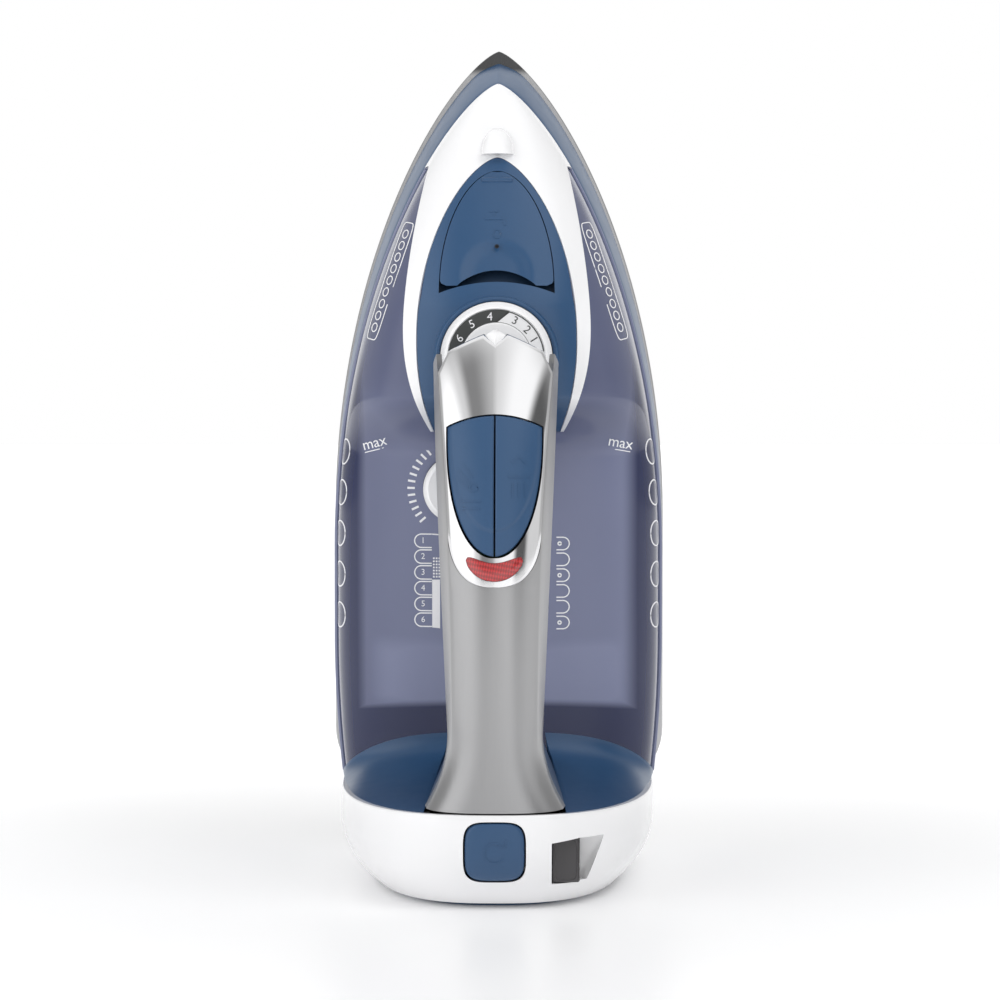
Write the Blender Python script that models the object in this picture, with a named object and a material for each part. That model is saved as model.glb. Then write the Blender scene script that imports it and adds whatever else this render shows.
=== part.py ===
"""A steam iron with a retractable cord, standing on its heel with its nose up.

Lengths in this file are in millimetres and become metres when a mesh is made.
The frame: +Z runs from the heel to the nose, the soleplate faces +Y, the handle
faces -Y, and z = 0 is the heel foot.  A height h is measured from the soleplate's
face towards the handle, so y = SOLE_FACE - h.
"""
import math

import bmesh
import bpy
import numpy as np

MM = 0.001

# ---- driving dimensions, in millimetres ----
LENGTH = 287.6            # heel foot to the tip of the soleplate
SOLE_HALF_WIDTH = 59.3    # half of the soleplate's greatest width
TOTAL_HEIGHT = 150.0      # soleplate face to the highest point of the handle
SOLE_FACE = TOTAL_HEIGHT / 2

SOLE_THICK = 3.2
SOLE_REAR = 20.0          # where the soleplate starts above the foot
SOLE_CORNER = 24.0
SOLE_WIDEST = 120.0       # station of the greatest width
NOSE_POWER = 0.73         # fullness of the pointed arch

BODY_INSET = 1.5          # the body is this much narrower than the soleplate
BODY_NOSE_SETBACK = 14.6  # the body's nose lies behind the soleplate's tip
BODY_WIDEST = 110.0
SKIRT_NOSE_SETBACK = 3.6
SHOULDER = 30.0           # height where skirt and upper body meet
HANDLE_OVER_CREST = 62.0  # from the deck under the dial up to the handle's highest point
CREST = TOTAL_HEIGHT - HANDLE_OVER_CREST
DIAL_STATION = 175.6
CREST_NOSE = 193.0        # the deck is level between these two stations
CREST_REAR = 163.0
FINGER_GAP_DEPTH = 84.0
SADDLE = TOTAL_HEIGHT - FINGER_GAP_DEPTH   # deck height in the finger gap
SADDLE_RUN = 19.0         # the deck falls from crest to saddle over this run
TAIL_DROP = 4.0
SECTION_POWER = 0.8       # superellipse power of the body's cross-section
TAIL_PINCH = 2.8          # the body narrows this much towards the heel
TAIL_START = 80.0

WALL = 2.0                # skins, covers and the tank
GAP = 0.35                # clearance between pieces that touch
TANK_REAR = 46.0
TANK_TOP = CREST - 12.0   # the tank stays below the dial

DOOR_REAR = 199.0
DOOR_NOSE = 240.0
DOOR_HALF_WIDTH = 19.2
FILL_STATION = 219.0
FILL_RADIUS = 9.0
PANEL_REAR = 151.0
PANEL_NOSE = 245.0
PANEL_HALF_WIDTH = 27.0
PANEL_WIDEST = 182.0
WINDOW_NOSE = 243.0
WINDOW_EDGE = 31.5        # inner edge of the side windows at their widest
WINDOW_WIDEST = 186.0
RAIL_WIDTH = 1.5          # white rail between skirt and window

DIAL_RADIUS = 18.6
DIAL_LOW = CREST - 7.0
DIAL_HIGH = CREST + 4.0
SPINDLE_RADIUS = 3.0

HEEL_BAND = 31.0          # thickness of the white heel
HEEL_LOW = 1.6            # the foot plate shows below the heel
HEEL_HALF_WIDTH = 54.0
HEEL_ARCH_START = 30.0
HEEL_ARCH_TOP = TOTAL_HEIGHT - 2.0
HEEL_ARCH_POWER = 2 / 2.65
HEEL_UNDER = 3.6          # the heel stops this far above the soleplate's face

GRIP_HALF_WIDTH = 15.3
GRIP_WAIST = 55.0         # station of the narrowest grip
GRIP_FLARE = 7.6
GRIP_SPREAD = 0.0437      # widening towards the nose, per millimetre
GRIP_DEPTH = 40.0
GRIP_UNDERSIDE = TOTAL_HEIGHT - GRIP_DEPTH
GRIP_REAR = HEEL_BAND + 0.5
GRIP_FRONT = 183.0
GRIP_PEAK = 97.0          # station of the highest point
GRIP_REAR_FALL = 3.0
GRIP_FRONT_FALL = 34.0
COVER_DEPTH = 20.0        # the cover reaches this far down the grip's sides
PILLAR_REAR = 145.0
PILLAR_FRONT = DIAL_STATION - DIAL_RADIUS - 1.0

BEZEL_REAR = 102.5
BEZEL_SPLIT = 151.0       # where the chrome takes the whole width
LENS_LOW = 104.8
LENS_HIGH = 112.0
BUTTON_LOW = 112.6
BUTTON_HIGH = 156.7
BUTTON_HALF_WIDTH = 15.2
BUTTON_THICK = 3.0
BUTTON_TRAVEL = 4.0
PUMP_STATION = 150.0
PUMP_OFFSET = 8.0
PUMP_RADIUS = 5.5

CLEAN_X = -13.6
CLEAN_STATION = 131.5
CLEAN_RADIUS = 11.5
CLEAN_TRAVEL = 3.0

REEL_HEIGHT = HEEL_ARCH_TOP / 2 - 2.0      # height of the reel's axis
REEL_RADIUS = REEL_HEIGHT - 28.0           # clear of the heel's floor and the brake lever
AXLE_RADIUS = 4.0
REWIND_SIZE = 20.0
REWIND_STATION = 19.0
OUTLET_X = 22.5
OUTLET_STATION = 15.7

# the hot base, from the soleplate up to the tank
SOLE_RIM = 1.0             # chamfer on the soleplate's lower edge
VENT_RADIUS = 1.7
VENT_INSET = 17.0
VENT_STATIONS = (120.0, 148.0, 176.0, 204.0, 230.0)
NOSE_VENT = LENGTH - 25.6
CASTING_INSET = 13.0
CASTING_REAR = 34.0
CASTING_LOW = SOLE_THICK + GAP
CASTING_HIGH = CASTING_LOW + 9.5
ELEMENT_RADIUS = 3.2
ELEMENT_HEIGHT = CASTING_HIGH - 2.2
ELEMENT_INSET = 30.0
COVER_INSET = CASTING_INSET + 1.5
COVER_LOW = ELEMENT_HEIGHT + ELEMENT_RADIUS + GAP
COVER_HIGH = COVER_LOW + 1.6
SHIELD_INSET = CASTING_INSET + 3.0
SHIELD_LOW = COVER_HIGH + 7.2
SHIELD_HIGH = SHIELD_LOW + 1.2
SCREW_RADIUS = 1.5
SCREW_HEAD = 1.2
TANK_LOW = SHIELD_HIGH + SCREW_HEAD + GAP
TANK_SEAM = TANK_LOW + WALL
VALVE_RADIUS = 5.0
THERMOSTAT_SIZE = 22.0
THERMOSTAT_HIGH = 5.0

HINGE_STATION = DOOR_NOSE - 3.4
HINGE_RADIUS = 1.6
HINGE_HALF_LENGTH = 4.0
PIN_RADIUS = 0.8

PUMP_LOW = TOTAL_HEIGHT - 53.0
PUMP_HIGH = TOTAL_HEIGHT - 30.0
PISTON_LOW = TOTAL_HEIGHT - 43.0
PUMP_WALL = 1.2

REEL_LOW = 8.5             # the reel's two flanges
REEL_HIGH = 26.0
REEL_FLANGE = 1.4
REEL_HUB = 20.0
LEVER_PIVOT = (-22.0, HEEL_ARCH_TOP - 23.0)
LEVER_BORE = 1.5
OUTLET_HALF_WIDTH = 4.5
OUTLET_HALF_LENGTH = 7.4

FINISHES = {              # colour, roughness, metallic
    "steel": ((0.52, 0.52, 0.53), 0.30, 1.0),
    "aluminium": ((0.60, 0.60, 0.61), 0.45, 1.0),
    "chrome": ((0.80, 0.80, 0.81), 0.08, 1.0),
    "satin": ((0.50, 0.50, 0.50), 0.32, 1.0),
    "brass": ((0.66, 0.50, 0.22), 0.35, 1.0),
    "blue": ((0.065, 0.13, 0.27), 0.35, 0.0),
    "white": ((0.85, 0.85, 0.87), 0.28, 0.0),
    "tank": ((0.16, 0.17, 0.30), 0.12, 0.0),
    "red": ((0.50, 0.02, 0.02), 0.15, 0.0),
    "dark": ((0.05, 0.05, 0.055), 0.50, 0.0),
    "rubber": ((0.03, 0.03, 0.03), 0.70, 0.0),
    "ceramic": ((0.70, 0.66, 0.58), 0.60, 0.0),
    "board": ((0.05, 0.18, 0.09), 0.50, 0.0),
    "amber": ((0.85, 0.45, 0.15), 0.20, 0.0),
}


# ---- scene, materials and meshes ----
def clear_scene():
    for obj in list(bpy.data.objects):
        bpy.data.objects.remove(obj, do_unlink=True)


def material(finish):
    found = bpy.data.materials.get(finish)
    if found:
        return found
    colour, roughness, metallic = FINISHES[finish]
    made = bpy.data.materials.new(finish)
    made.use_nodes = True
    shader = made.node_tree.nodes["Principled BSDF"]
    shader.inputs["Base Color"].default_value = (*colour, 1.0)
    shader.inputs["Roughness"].default_value = roughness
    shader.inputs["Metallic"].default_value = metallic
    return made


def place(x, h, z):
    """A point given as x, height over the soleplate's face and station, as x, y, z."""
    return (x, SOLE_FACE - h, z)


def add_mesh(name, points, faces, finish, pivot=(0.0, 0.0, 0.0)):
    """An object from points (x, h, z), with its origin at pivot, given the same way."""
    origin = np.array(place(*pivot)) * MM
    verts = [tuple(np.array(place(*p)) * MM - origin) for p in points]
    mesh = bpy.data.meshes.new(name)
    mesh.from_pydata(verts, [], faces)
    bm = bmesh.new()
    bm.from_mesh(mesh)
    bmesh.ops.remove_doubles(bm, verts=bm.verts, dist=1e-6)
    bmesh.ops.recalc_face_normals(bm, faces=bm.faces)
    bm.to_mesh(mesh)
    bm.free()
    mesh.shade_smooth()
    mesh.set_sharp_from_angle(angle=math.radians(35))
    obj = bpy.data.objects.new(name, mesh)
    obj.location = origin
    bpy.context.scene.collection.objects.link(obj)
    mesh.materials.append(material(finish))
    return obj


def combine(obj, other, operation):
    """Cut, join or keep the overlap of obj with a helper solid, which is left out."""
    modifier = obj.modifiers.new(other.name, "BOOLEAN")
    modifier.operation = operation
    modifier.object = other
    other.hide_render = True
    other.display_type = "WIRE"
    return obj


def cut(obj, *others):
    for other in others:
        combine(obj, other, "DIFFERENCE")
    return obj


def join(obj, *others):
    for other in others:
        combine(obj, other, "UNION")
    return obj


# ---- basic solids ----
def loft(name, rings, finish, pivot=(0.0, 0.0, 0.0), closed=False):
    """Skin rings of equal length; the ends are capped unless the rings close on themselves."""
    count = len(rings[0])
    points = [tuple(p) for ring in rings for p in ring]
    faces = []
    last = len(rings) if closed else len(rings) - 1
    for i in range(last):
        a = i * count
        b = ((i + 1) % len(rings)) * count
        for j in range(count):
            k = (j + 1) % count
            faces.append((a + j, a + k, b + k, b + j))
    if not closed:
        faces.append(tuple(range(count)))
        faces.append(tuple(range(len(points) - count, len(points))))
    return add_mesh(name, points, faces, finish, pivot)


def box(name, x, h, z, finish, pivot=(0.0, 0.0, 0.0)):
    """A box from pairs of limits in x, height and station."""
    rings = [[(x[0], h[0], s), (x[1], h[0], s), (x[1], h[1], s), (x[0], h[1], s)] for s in z]
    return loft(name, rings, finish, pivot)


def turned(name, centre, axis, profile, finish, sides=24, pivot=(0.0, 0.0, 0.0), closed=False):
    """Turn a profile of (radius, distance) pairs about an axis through centre.

    The axis is "x", "h" or "z"; a closed profile makes a ring or a tube.
    """
    order = {"x": (2, 0, 1), "h": (0, 2, 1), "z": (0, 1, 2)}[axis]
    rings = []
    for radius, along in profile:
        ring = []
        for i in range(sides):
            angle = 2 * math.pi * i / sides
            local = (radius * math.cos(angle), radius * math.sin(angle), along)
            ring.append(tuple(centre[k] + local[order[k]] for k in range(3)))
        rings.append(ring)
    return loft(name, rings, finish, pivot, closed)


def rod(name, centre, axis, radius, limits, finish, sides=16, pivot=(0.0, 0.0, 0.0)):
    return turned(name, centre, axis, [(radius, limits[0]), (radius, limits[1])], finish, sides, pivot)


def tube(name, centre, axis, radii, limits, finish, sides=20, pivot=(0.0, 0.0, 0.0)):
    inner, outer = radii
    low, high = limits
    profile = [(outer, low), (outer, high), (inner, high), (inner, low)]
    return turned(name, centre, axis, profile, finish, sides, pivot, closed=True)


def spring(name, centre, radius, wire, limits, turns, finish):
    """A helical spring along the height axis, of round wire."""
    steps = turns * 8
    low, high = limits
    rings = []
    for i in range(steps + 1):
        angle = 2 * math.pi * turns * i / steps
        height = low + wire + (high - low - 2 * wire) * i / steps
        ring = []
        for j in range(5):
            side = 2 * math.pi * j / 5
            reach = radius + wire * math.cos(side)
            ring.append((centre[0] + reach * math.cos(angle), height + wire * math.sin(side),
                         centre[2] + reach * math.sin(angle)))
        rings.append(ring)
    return loft(name, rings, finish)


# ---- the shapes that pieces share ----
def smooth(t):
    t = np.clip(t, 0.0, 1.0)
    return t * t * (3 - 2 * t)


def arch_half_width(z, width, widest, tip):
    """Half-width of a pointed arch: full up to its widest station, then closing to the tip."""
    nose = np.clip((z - widest) / (tip - widest), 0.0, 1.0)
    return width * (1 - nose ** 2) ** NOSE_POWER


def sole_half_width(z):
    rear = np.clip((SOLE_REAR + SOLE_CORNER - z) / SOLE_CORNER, 0.0, 1.0)
    rounding = SOLE_CORNER * (1 - np.sqrt(1 - rear ** 2))
    return arch_half_width(z, SOLE_HALF_WIDTH, SOLE_WIDEST, LENGTH) - rounding


def pinch(z):
    return TAIL_PINCH * np.clip((TAIL_START - z) / (TAIL_START - HEEL_BAND), 0.0, None) ** 2


def body_tip():
    return LENGTH - BODY_NOSE_SETBACK


def body_half_width(z):
    width = SOLE_HALF_WIDTH - BODY_INSET
    return arch_half_width(z, width, BODY_WIDEST, body_tip()) - pinch(z)


def skirt_half_width(z):
    width = SOLE_HALF_WIDTH - BODY_INSET / 2
    return arch_half_width(z, width, SOLE_WIDEST, LENGTH - SKIRT_NOSE_SETBACK) - pinch(z)


def deck_height(z):
    """Height of the deck on the centre line: nose slope, level crest, step down, gentle tail."""
    nose = np.clip((z - CREST_NOSE) / (body_tip() - CREST_NOSE), 0.0, 1.0)
    step = smooth((CREST_REAR - z) / SADDLE_RUN)
    saddle_start = CREST_REAR - SADDLE_RUN
    tail = np.clip((saddle_start - z) / (saddle_start - TANK_REAR), 0.0, 1.0)
    return CREST - (CREST - SHOULDER) * nose ** 1.35 - (CREST - SADDLE) * step - TAIL_DROP * tail


def deck_point(z, turn, inset=0.0, ceiling=1e6):
    """A point of the body's upper surface; turn runs 0 to pi from the +X shoulder over the top."""
    width = max(float(body_half_width(z)) - inset, 0.4)
    rise = max(min(float(deck_height(z)) - inset, ceiling) - SHOULDER, 0.4)
    across = abs(math.cos(turn)) ** SECTION_POWER * math.copysign(1, math.cos(turn))
    return (width * across, SHOULDER + rise * math.sin(turn) ** SECTION_POWER, z)


def deck_turn(z, x):
    """The turn at which the upper surface reaches half-width x at station z."""
    share = min(max(x / max(float(body_half_width(z)), 0.4), 0.0), 1.0)
    return math.acos(share ** (1 / SECTION_POWER))


def deck_solid(name, stations, floor, inset, ceiling, finish, steps=12):
    """A closed solid under the upper surface, from height floor upwards."""
    rings = []
    for z in stations:
        ring = [deck_point(z, math.pi * i / steps, inset, ceiling) for i in range(steps + 1)]
        first, last = ring[0], ring[-1]
        rings.append(ring + [(last[0], floor, z), (first[0], floor, z)])
    return loft(name, rings, finish)


def arch_stations(rear, tip, count):
    """Stations that crowd towards the tip, where an outline curves most."""
    return [rear + (tip - rear) * math.sin(0.5 * math.pi * i / (count - 1)) for i in range(count)]


def plan_ring(half_width, inset, rear, tip, height, count=14):
    """A closed plan outline at one height: up the +X side and down the -X side."""
    right = []
    corner = [rear + SOLE_CORNER * (1 - math.cos(0.5 * math.pi * i / 4)) for i in range(4)]
    for z in corner + arch_stations(rear + SOLE_CORNER, tip, count):
        right.append((max(float(half_width(z)) - inset, 0.0), height, z))
    left = [(-x, h, z) for x, h, z in reversed(right[:-1])]
    right[-1] = (0.0, height, right[-1][2])
    return right + left


def inset_tip(width, widest, tip, inset):
    """Where an arch that is narrowed by inset closes."""
    share = (inset / width) ** (1 / NOSE_POWER)
    return widest + (tip - widest) * math.sqrt(1 - share)


def sole_ring(inset, rear, height):
    tip = inset_tip(SOLE_HALF_WIDTH, SOLE_WIDEST, LENGTH, inset) if inset > 0 else LENGTH
    return plan_ring(sole_half_width, inset, rear, tip, height)


def plate(name, inset, rear, low, high, finish):
    return loft(name, [sole_ring(inset, rear, low), sole_ring(inset, rear, high)], finish)


def skin(name, stations, columns, keep, point, wall, finish, pivot=(0.0, 0.0, 0.0)):
    """A wall of a curved surface, as a closed solid.

    columns(z) gives the turns of the grid lines at a station, keep(i, j) says whether the
    cell past station i and column j is there, and point(z, turn, inset) is the surface,
    drawn in by inset for the wall's inner face.  Edges of the kept cells get a rim.
    """
    rows = [columns(z) for z in stations]
    count = len(rows[0])
    layers = []
    for inset in (0.0, wall):
        layers.append([point(z, turn, inset) for z, row in zip(stations, rows) for turn in row])
    inner = len(layers[0])
    cells = [(i, j) for i in range(len(stations) - 1) for j in range(count - 1) if keep(i, j)]
    kept = set(cells)
    faces = []
    for i, j in cells:
        a = i * count + j
        corners = (a, a + 1, a + count + 1, a + count)
        faces.append(corners)
        faces.append(tuple(inner + index for index in reversed(corners)))
        neighbours = ((i - 1, j), (i, j + 1), (i + 1, j), (i, j - 1))
        for side, neighbour in enumerate(neighbours):
            if neighbour not in kept:
                start, end = corners[side], corners[(side + 1) % 4]
                faces.append((end, start, inner + start, inner + end))
    points = layers[0] + layers[1]
    used = sorted({index for face in faces for index in face})
    order = {index: position for position, index in enumerate(used)}
    faces = [tuple(order[index] for index in face) for face in faces]
    return add_mesh(name, [points[index] for index in used], faces, finish, pivot)


def spread(start, end, steps):
    return [start + (end - start) * i / steps for i in range(steps + 1)]


def mirrored(turns):
    """Complete the turns of the +X half, which end at the centre line."""
    return turns + [math.pi - turn for turn in reversed(turns[:-1])]


def panel_half_width(z):
    """Outline of the blue centre panel: rounded nose, slight narrowing towards the handle."""
    if z > PANEL_WIDEST:
        nose = min((z - PANEL_WIDEST) / (PANEL_NOSE - PANEL_WIDEST), 1.0)
        return PANEL_HALF_WIDTH * (1 - nose ** 2) ** 0.66
    rear = (PANEL_WIDEST - z) / (PANEL_WIDEST - PANEL_REAR)
    return PANEL_HALF_WIDTH - 5.5 * rear ** 2.2


def window_edge(z):
    """Inner edge of the side windows, which is the outer edge of the white limbs."""
    if z > WINDOW_WIDEST:
        return WINDOW_EDGE - 7.5 * ((z - WINDOW_WIDEST) / (WINDOW_NOSE - WINDOW_WIDEST)) ** 1.6
    rear = (WINDOW_WIDEST - z) / (WINDOW_WIDEST - PANEL_REAR)
    return WINDOW_EDGE - 9.0 * min(rear, 1.0) ** 2.2


def door_half_width(z):
    nose = min(max((z - DOOR_REAR) / (DOOR_NOSE - DOOR_REAR), 0.0), 1.0)
    return DOOR_HALF_WIDTH * (1 - nose ** 2) ** 0.55


# ---- hot base ----
def make_soleplate():
    sole = loft("soleplate", [sole_ring(SOLE_RIM, SOLE_REAR + SOLE_RIM, 0.0),
                              sole_ring(0.0, SOLE_REAR, SOLE_RIM),
                              sole_ring(0.0, SOLE_REAR, SOLE_THICK)], "steel")
    return cut(sole, *steam_vents("sole_vents", -1.0, SOLE_THICK + 1.0))


def steam_vents(name, low, high):
    """Holes along both edges of the soleplate and one in its nose."""
    spots = [(0.0, NOSE_VENT)]
    for z in VENT_STATIONS:
        reach = float(sole_half_width(z)) - VENT_INSET
        spots += [(reach, z), (-reach, z)]
    return [rod(f"{name}_{i}", (x, 0.0, z), "h", VENT_RADIUS, (low, high), "steel", 8)
            for i, (x, z) in enumerate(spots)]


def element_route():
    """The heating element's path: up one side, round the nose and down the other."""
    legs = [(float(sole_half_width(z)) - ELEMENT_INSET, z) for z in (52, 90, 130, 165, 195)]
    bend = [(12.0 * math.cos(a), 214.0 + 12.0 * math.sin(a)) for a in spread(0.5, math.pi - 0.5, 6)]
    return legs + bend + [(-x, z) for x, z in reversed(legs)]


def swept(name, route, height, radius, finish, sides=8):
    """A round bar along a flat route at one height."""
    rings = []
    for i, (x, z) in enumerate(route):
        before = route[max(i - 1, 0)]
        after = route[min(i + 1, len(route) - 1)]
        dx, dz = after[0] - before[0], after[1] - before[1]
        size = math.hypot(dx, dz)
        across = (-dz / size, dx / size)
        ring = []
        for j in range(sides):
            angle = 2 * math.pi * (j + 0.5) / sides
            reach = radius * math.cos(angle)
            ring.append((x + across[0] * reach, height + radius * math.sin(angle), z + across[1] * reach))
        rings.append(ring)
    return loft(name, rings, finish)


def make_hot_base():
    casting = plate("heater_casting", CASTING_INSET, CASTING_REAR, CASTING_LOW, CASTING_HIGH, "aluminium")
    groove = swept("cut_element_groove", element_route(), ELEMENT_HEIGHT, ELEMENT_RADIUS + 0.5, "steel")
    cut(casting, groove, *steam_vents("casting_vents", CASTING_LOW - 1, CASTING_HIGH + 1))
    swept("heating_element", element_route()[1:-1], ELEMENT_HEIGHT, ELEMENT_RADIUS, "steel")
    plate("steam_chamber_cover", COVER_INSET, CASTING_REAR + 6.0, COVER_LOW, COVER_HIGH, "aluminium")
    shield = plate("heat_shield", SHIELD_INSET, CASTING_REAR + 2.0, SHIELD_LOW, SHIELD_HIGH, "steel")
    cut(shield, rod("cut_shield_spindle", (0, 0, DIAL_STATION), "h", 6.0, (SHIELD_LOW - 1, SHIELD_HIGH + 1),
                    "steel"))
    cut(shield, rod("cut_shield_valve", (CLEAN_X, 0, CLEAN_STATION), "h", VALVE_RADIUS + 0.6,
                    (SHIELD_LOW - 1, SHIELD_HIGH + 1), "steel"))


def make_thermostat():
    low = COVER_HIGH + GAP
    half = THERMOSTAT_SIZE / 2
    body = box("thermostat", (-half, half), (low, low + THERMOSTAT_HIGH),
               (DIAL_STATION - half, DIAL_STATION + half), "ceramic")
    cut(body, rod("cut_thermostat", (0, 0, DIAL_STATION), "h", SPINDLE_RADIUS + GAP,
                  (low + 1.5, low + 8.0), "steel"))
    box("thermostat_blade", (-4, 4), (low + 1.5, low + 2.5), (DIAL_STATION + half + GAP, DIAL_STATION + 34),
        "brass")
    rod("thermal_fuse", (0.0, COVER_HIGH + GAP + 2.2, 138.0), "x", 2.2, (-9.0, 9.0), "ceramic", 12)


def make_skirt():
    """The blue band between soleplate and upper body, open above and below."""
    low, high, rear = SOLE_THICK + GAP, SHOULDER - GAP, HEEL_BAND + GAP
    tips = (LENGTH - SKIRT_NOSE_SETBACK, body_tip())

    def ring(half_width, tip, width, widest, inset, height):
        closes = inset_tip(width, widest, tip, inset) if inset > 0 else tip
        return plan_ring(half_width, inset, rear + inset, closes, height)

    wide = (SOLE_HALF_WIDTH - BODY_INSET / 2, SOLE_HALF_WIDTH - BODY_INSET)
    rings = [ring(skirt_half_width, tips[0], wide[0], SOLE_WIDEST, 0.0, low),
             ring(body_half_width, tips[1], wide[1], BODY_WIDEST, 0.0, high),
             ring(body_half_width, tips[1], wide[1], BODY_WIDEST, WALL, high),
             ring(skirt_half_width, tips[0], wide[0], SOLE_WIDEST, WALL, low)]
    loft("skirt", rings, "blue", closed=True)


# ---- water tank and its skins ----
def tank_stations(rear, tip):
    """Few stations along the flat saddle, more over the step and the nose slope."""
    step = CREST_REAR - SADDLE_RUN
    return spread(rear, step, 3) + spread(step, CREST_REAR, 6)[1:] + spread(CREST_NOSE, tip, 9)


def make_tank():
    """The tank: a hollow upper shell, open below, on a flat base."""
    inset = WALL + 3 * GAP
    tip = body_tip() - 9.0
    shell = deck_solid("water_tank", tank_stations(TANK_REAR, tip), TANK_SEAM + GAP, inset, TANK_TOP, "tank")
    hollow = deck_solid("cut_tank_hollow", tank_stations(TANK_REAR + WALL, tip - 2 * WALL), TANK_SEAM - 1,
                        inset + WALL, TANK_TOP - WALL, "tank")
    cut(shell, hollow)
    for label, x, z, radius in (("spindle", 0.0, DIAL_STATION, SPINDLE_RADIUS + 1.2),
                                ("valve", CLEAN_X, CLEAN_STATION, 2.6)):
        sleeve = rod(f"add_{label}_tunnel", (x, 0, z), "h", radius + 1.6, (TANK_SEAM + GAP, CREST), "tank")
        join(shell, combine(sleeve, hollow_roof(label), "INTERSECT"))
        cut(shell, rod(f"cut_{label}_tunnel", (x, 0, z), "h", radius, (TANK_LOW - 2, TANK_TOP + 9), "tank"))
    cut(shell, rod("cut_fill_mouth", (0, 0, FILL_STATION), "h", FILL_RADIUS, (SHOULDER + 12, 90), "tank"))
    base = loft("water_tank_base", [body_ring(inset, TANK_LOW), body_ring(inset, TANK_SEAM)], "tank")
    cut(base, rod("cut_base_spindle", (0, 0, DIAL_STATION), "h", SPINDLE_RADIUS + 1.2,
                  (TANK_LOW - 2, TANK_SEAM + 2), "tank"))
    cut(base, rod("cut_base_valve", (CLEAN_X, 0, CLEAN_STATION), "h", VALVE_RADIUS + 0.6,
                  (TANK_LOW - 2, TANK_SEAM + 2), "tank"))


def hollow_roof(label):
    """The tank's outer shape, which trims a tunnel's sleeve to the roof."""
    return deck_solid(f"trim_{label}", tank_stations(TANK_REAR, body_tip() - 9.0), TANK_SEAM + GAP,
                      WALL + 4 * GAP, TANK_TOP - GAP, "tank")


def body_ring(inset, height):
    width = SOLE_HALF_WIDTH - BODY_INSET
    tip = min(inset_tip(width, BODY_WIDEST, body_tip(), inset), body_tip() - 9.0)
    return plan_ring(body_half_width, inset, TANK_REAR, tip, height)


def shell_columns(z):
    """Grid lines of the white shell: rail, window, limb and centre, on both sides."""
    width = float(body_half_width(z))
    rail = max(width - RAIL_WIDTH, width * 0.94)
    limb = min(window_edge(z), rail * 0.98)
    opening = min(max(panel_half_width(z), 2.6), limb - 0.8)
    turns = [0.0, deck_turn(z, rail)]
    turns += spread(turns[1], deck_turn(z, limb), 2)[1:]
    turns += spread(turns[-1], deck_turn(z, opening), 2)[1:]
    turns += spread(turns[-1], math.pi / 2, 2)[1:]
    return mirrored(turns)


def panel_stations():
    """Stations that panel, door and white shell share, so that their curved edges keep their gap."""
    rows = spread(PANEL_REAR, DOOR_REAR - GAP, 5) + spread(DOOR_REAR - GAP, DOOR_NOSE - 1.0, 6)[1:]
    return rows + [PANEL_NOSE - 1.6]


def make_front_shell():
    """White nose cap with a limb round the panel and a rail down each side."""
    stations = spread(HEEL_BAND + GAP, PANEL_REAR, 5) + panel_stations()[1:]
    stations += spread(PANEL_NOSE - 0.6, body_tip() - 2.5, 5)

    def keep(i, j):
        low = stations[i]
        column = min(j, 13 - j)
        if column == 0:
            return True
        if column in (1, 2):
            return low >= WINDOW_NOSE
        if column in (3, 4):
            return low >= PANEL_REAR - 0.1
        return low >= PANEL_NOSE - 0.7

    skin("front_shell", stations, shell_columns, keep, deck_point, WALL, "white")


def panel_columns(z):
    edge = max(panel_half_width(z) - GAP, 1.0)
    door = min(door_half_width(z) + GAP if DOOR_REAR < z < DOOR_NOSE else DOOR_HALF_WIDTH, edge * 0.85)
    turns = spread(deck_turn(z, edge), deck_turn(z, door), 2)
    turns += spread(turns[-1], math.pi / 2, 3)[1:]
    return mirrored(turns)


def make_centre_panel():
    """Blue deck panel with openings for the fill door and the dial."""
    stations = panel_stations()

    def keep(i, j):
        column = min(j, 9 - j)
        return column < 2 or not DOOR_REAR - 1 < stations[i] < DOOR_NOSE - 2

    panel = skin("centre_panel", stations, panel_columns, keep, deck_point, WALL, "blue")
    cut(panel, rod("cut_dial_well", (0, 0, DIAL_STATION), "h", DIAL_RADIUS + 2 * GAP, (CREST - 28, CREST + 22),
                   "blue", 32))


def hinge_height():
    return float(deck_height(HINGE_STATION)) - 0.4


def make_fill_door():
    pivot = (0.0, hinge_height(), HINGE_STATION)
    front = HINGE_STATION - HINGE_RADIUS - 0.6
    between = [z for z in panel_stations() if DOOR_REAR + GAP < z < front]
    stations = [DOOR_REAR + GAP] + between + [front]

    def columns(z):
        return mirrored(spread(deck_turn(z, door_half_width(z) - GAP), math.pi / 2, 4))

    door = skin("fill_door", stations, columns, lambda i, j: True, deck_point, WALL, "blue", pivot)
    barrel = rod("add_door_barrel", pivot, "x", HINGE_RADIUS, (-HINGE_HALF_LENGTH, HINGE_HALF_LENGTH), "blue", 12)
    arm_h = hinge_height()
    arm = box("add_door_arm", (-HINGE_HALF_LENGTH, HINGE_HALF_LENGTH), (arm_h - 0.1, arm_h + 1.4),
              (HINGE_STATION - 2.8, HINGE_STATION), "blue")
    join(door, barrel, arm)
    cut(door, rod("cut_door_pin", pivot, "x", PIN_RADIUS + GAP / 2, (-9, 9), "blue", 12))
    rod("fill_door_pin", pivot, "x", PIN_RADIUS, (-HINGE_HALF_LENGTH - 1.2, HINGE_HALF_LENGTH + 1.2), "steel", 12)


def make_fill_neck():
    mouth = float(deck_height(FILL_STATION))
    tube("fill_neck", (0, 0, FILL_STATION), "h", (FILL_RADIUS - 2.0, FILL_RADIUS - GAP),
         (mouth - 18.0, mouth - 9.0), "rubber", 24)


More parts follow.
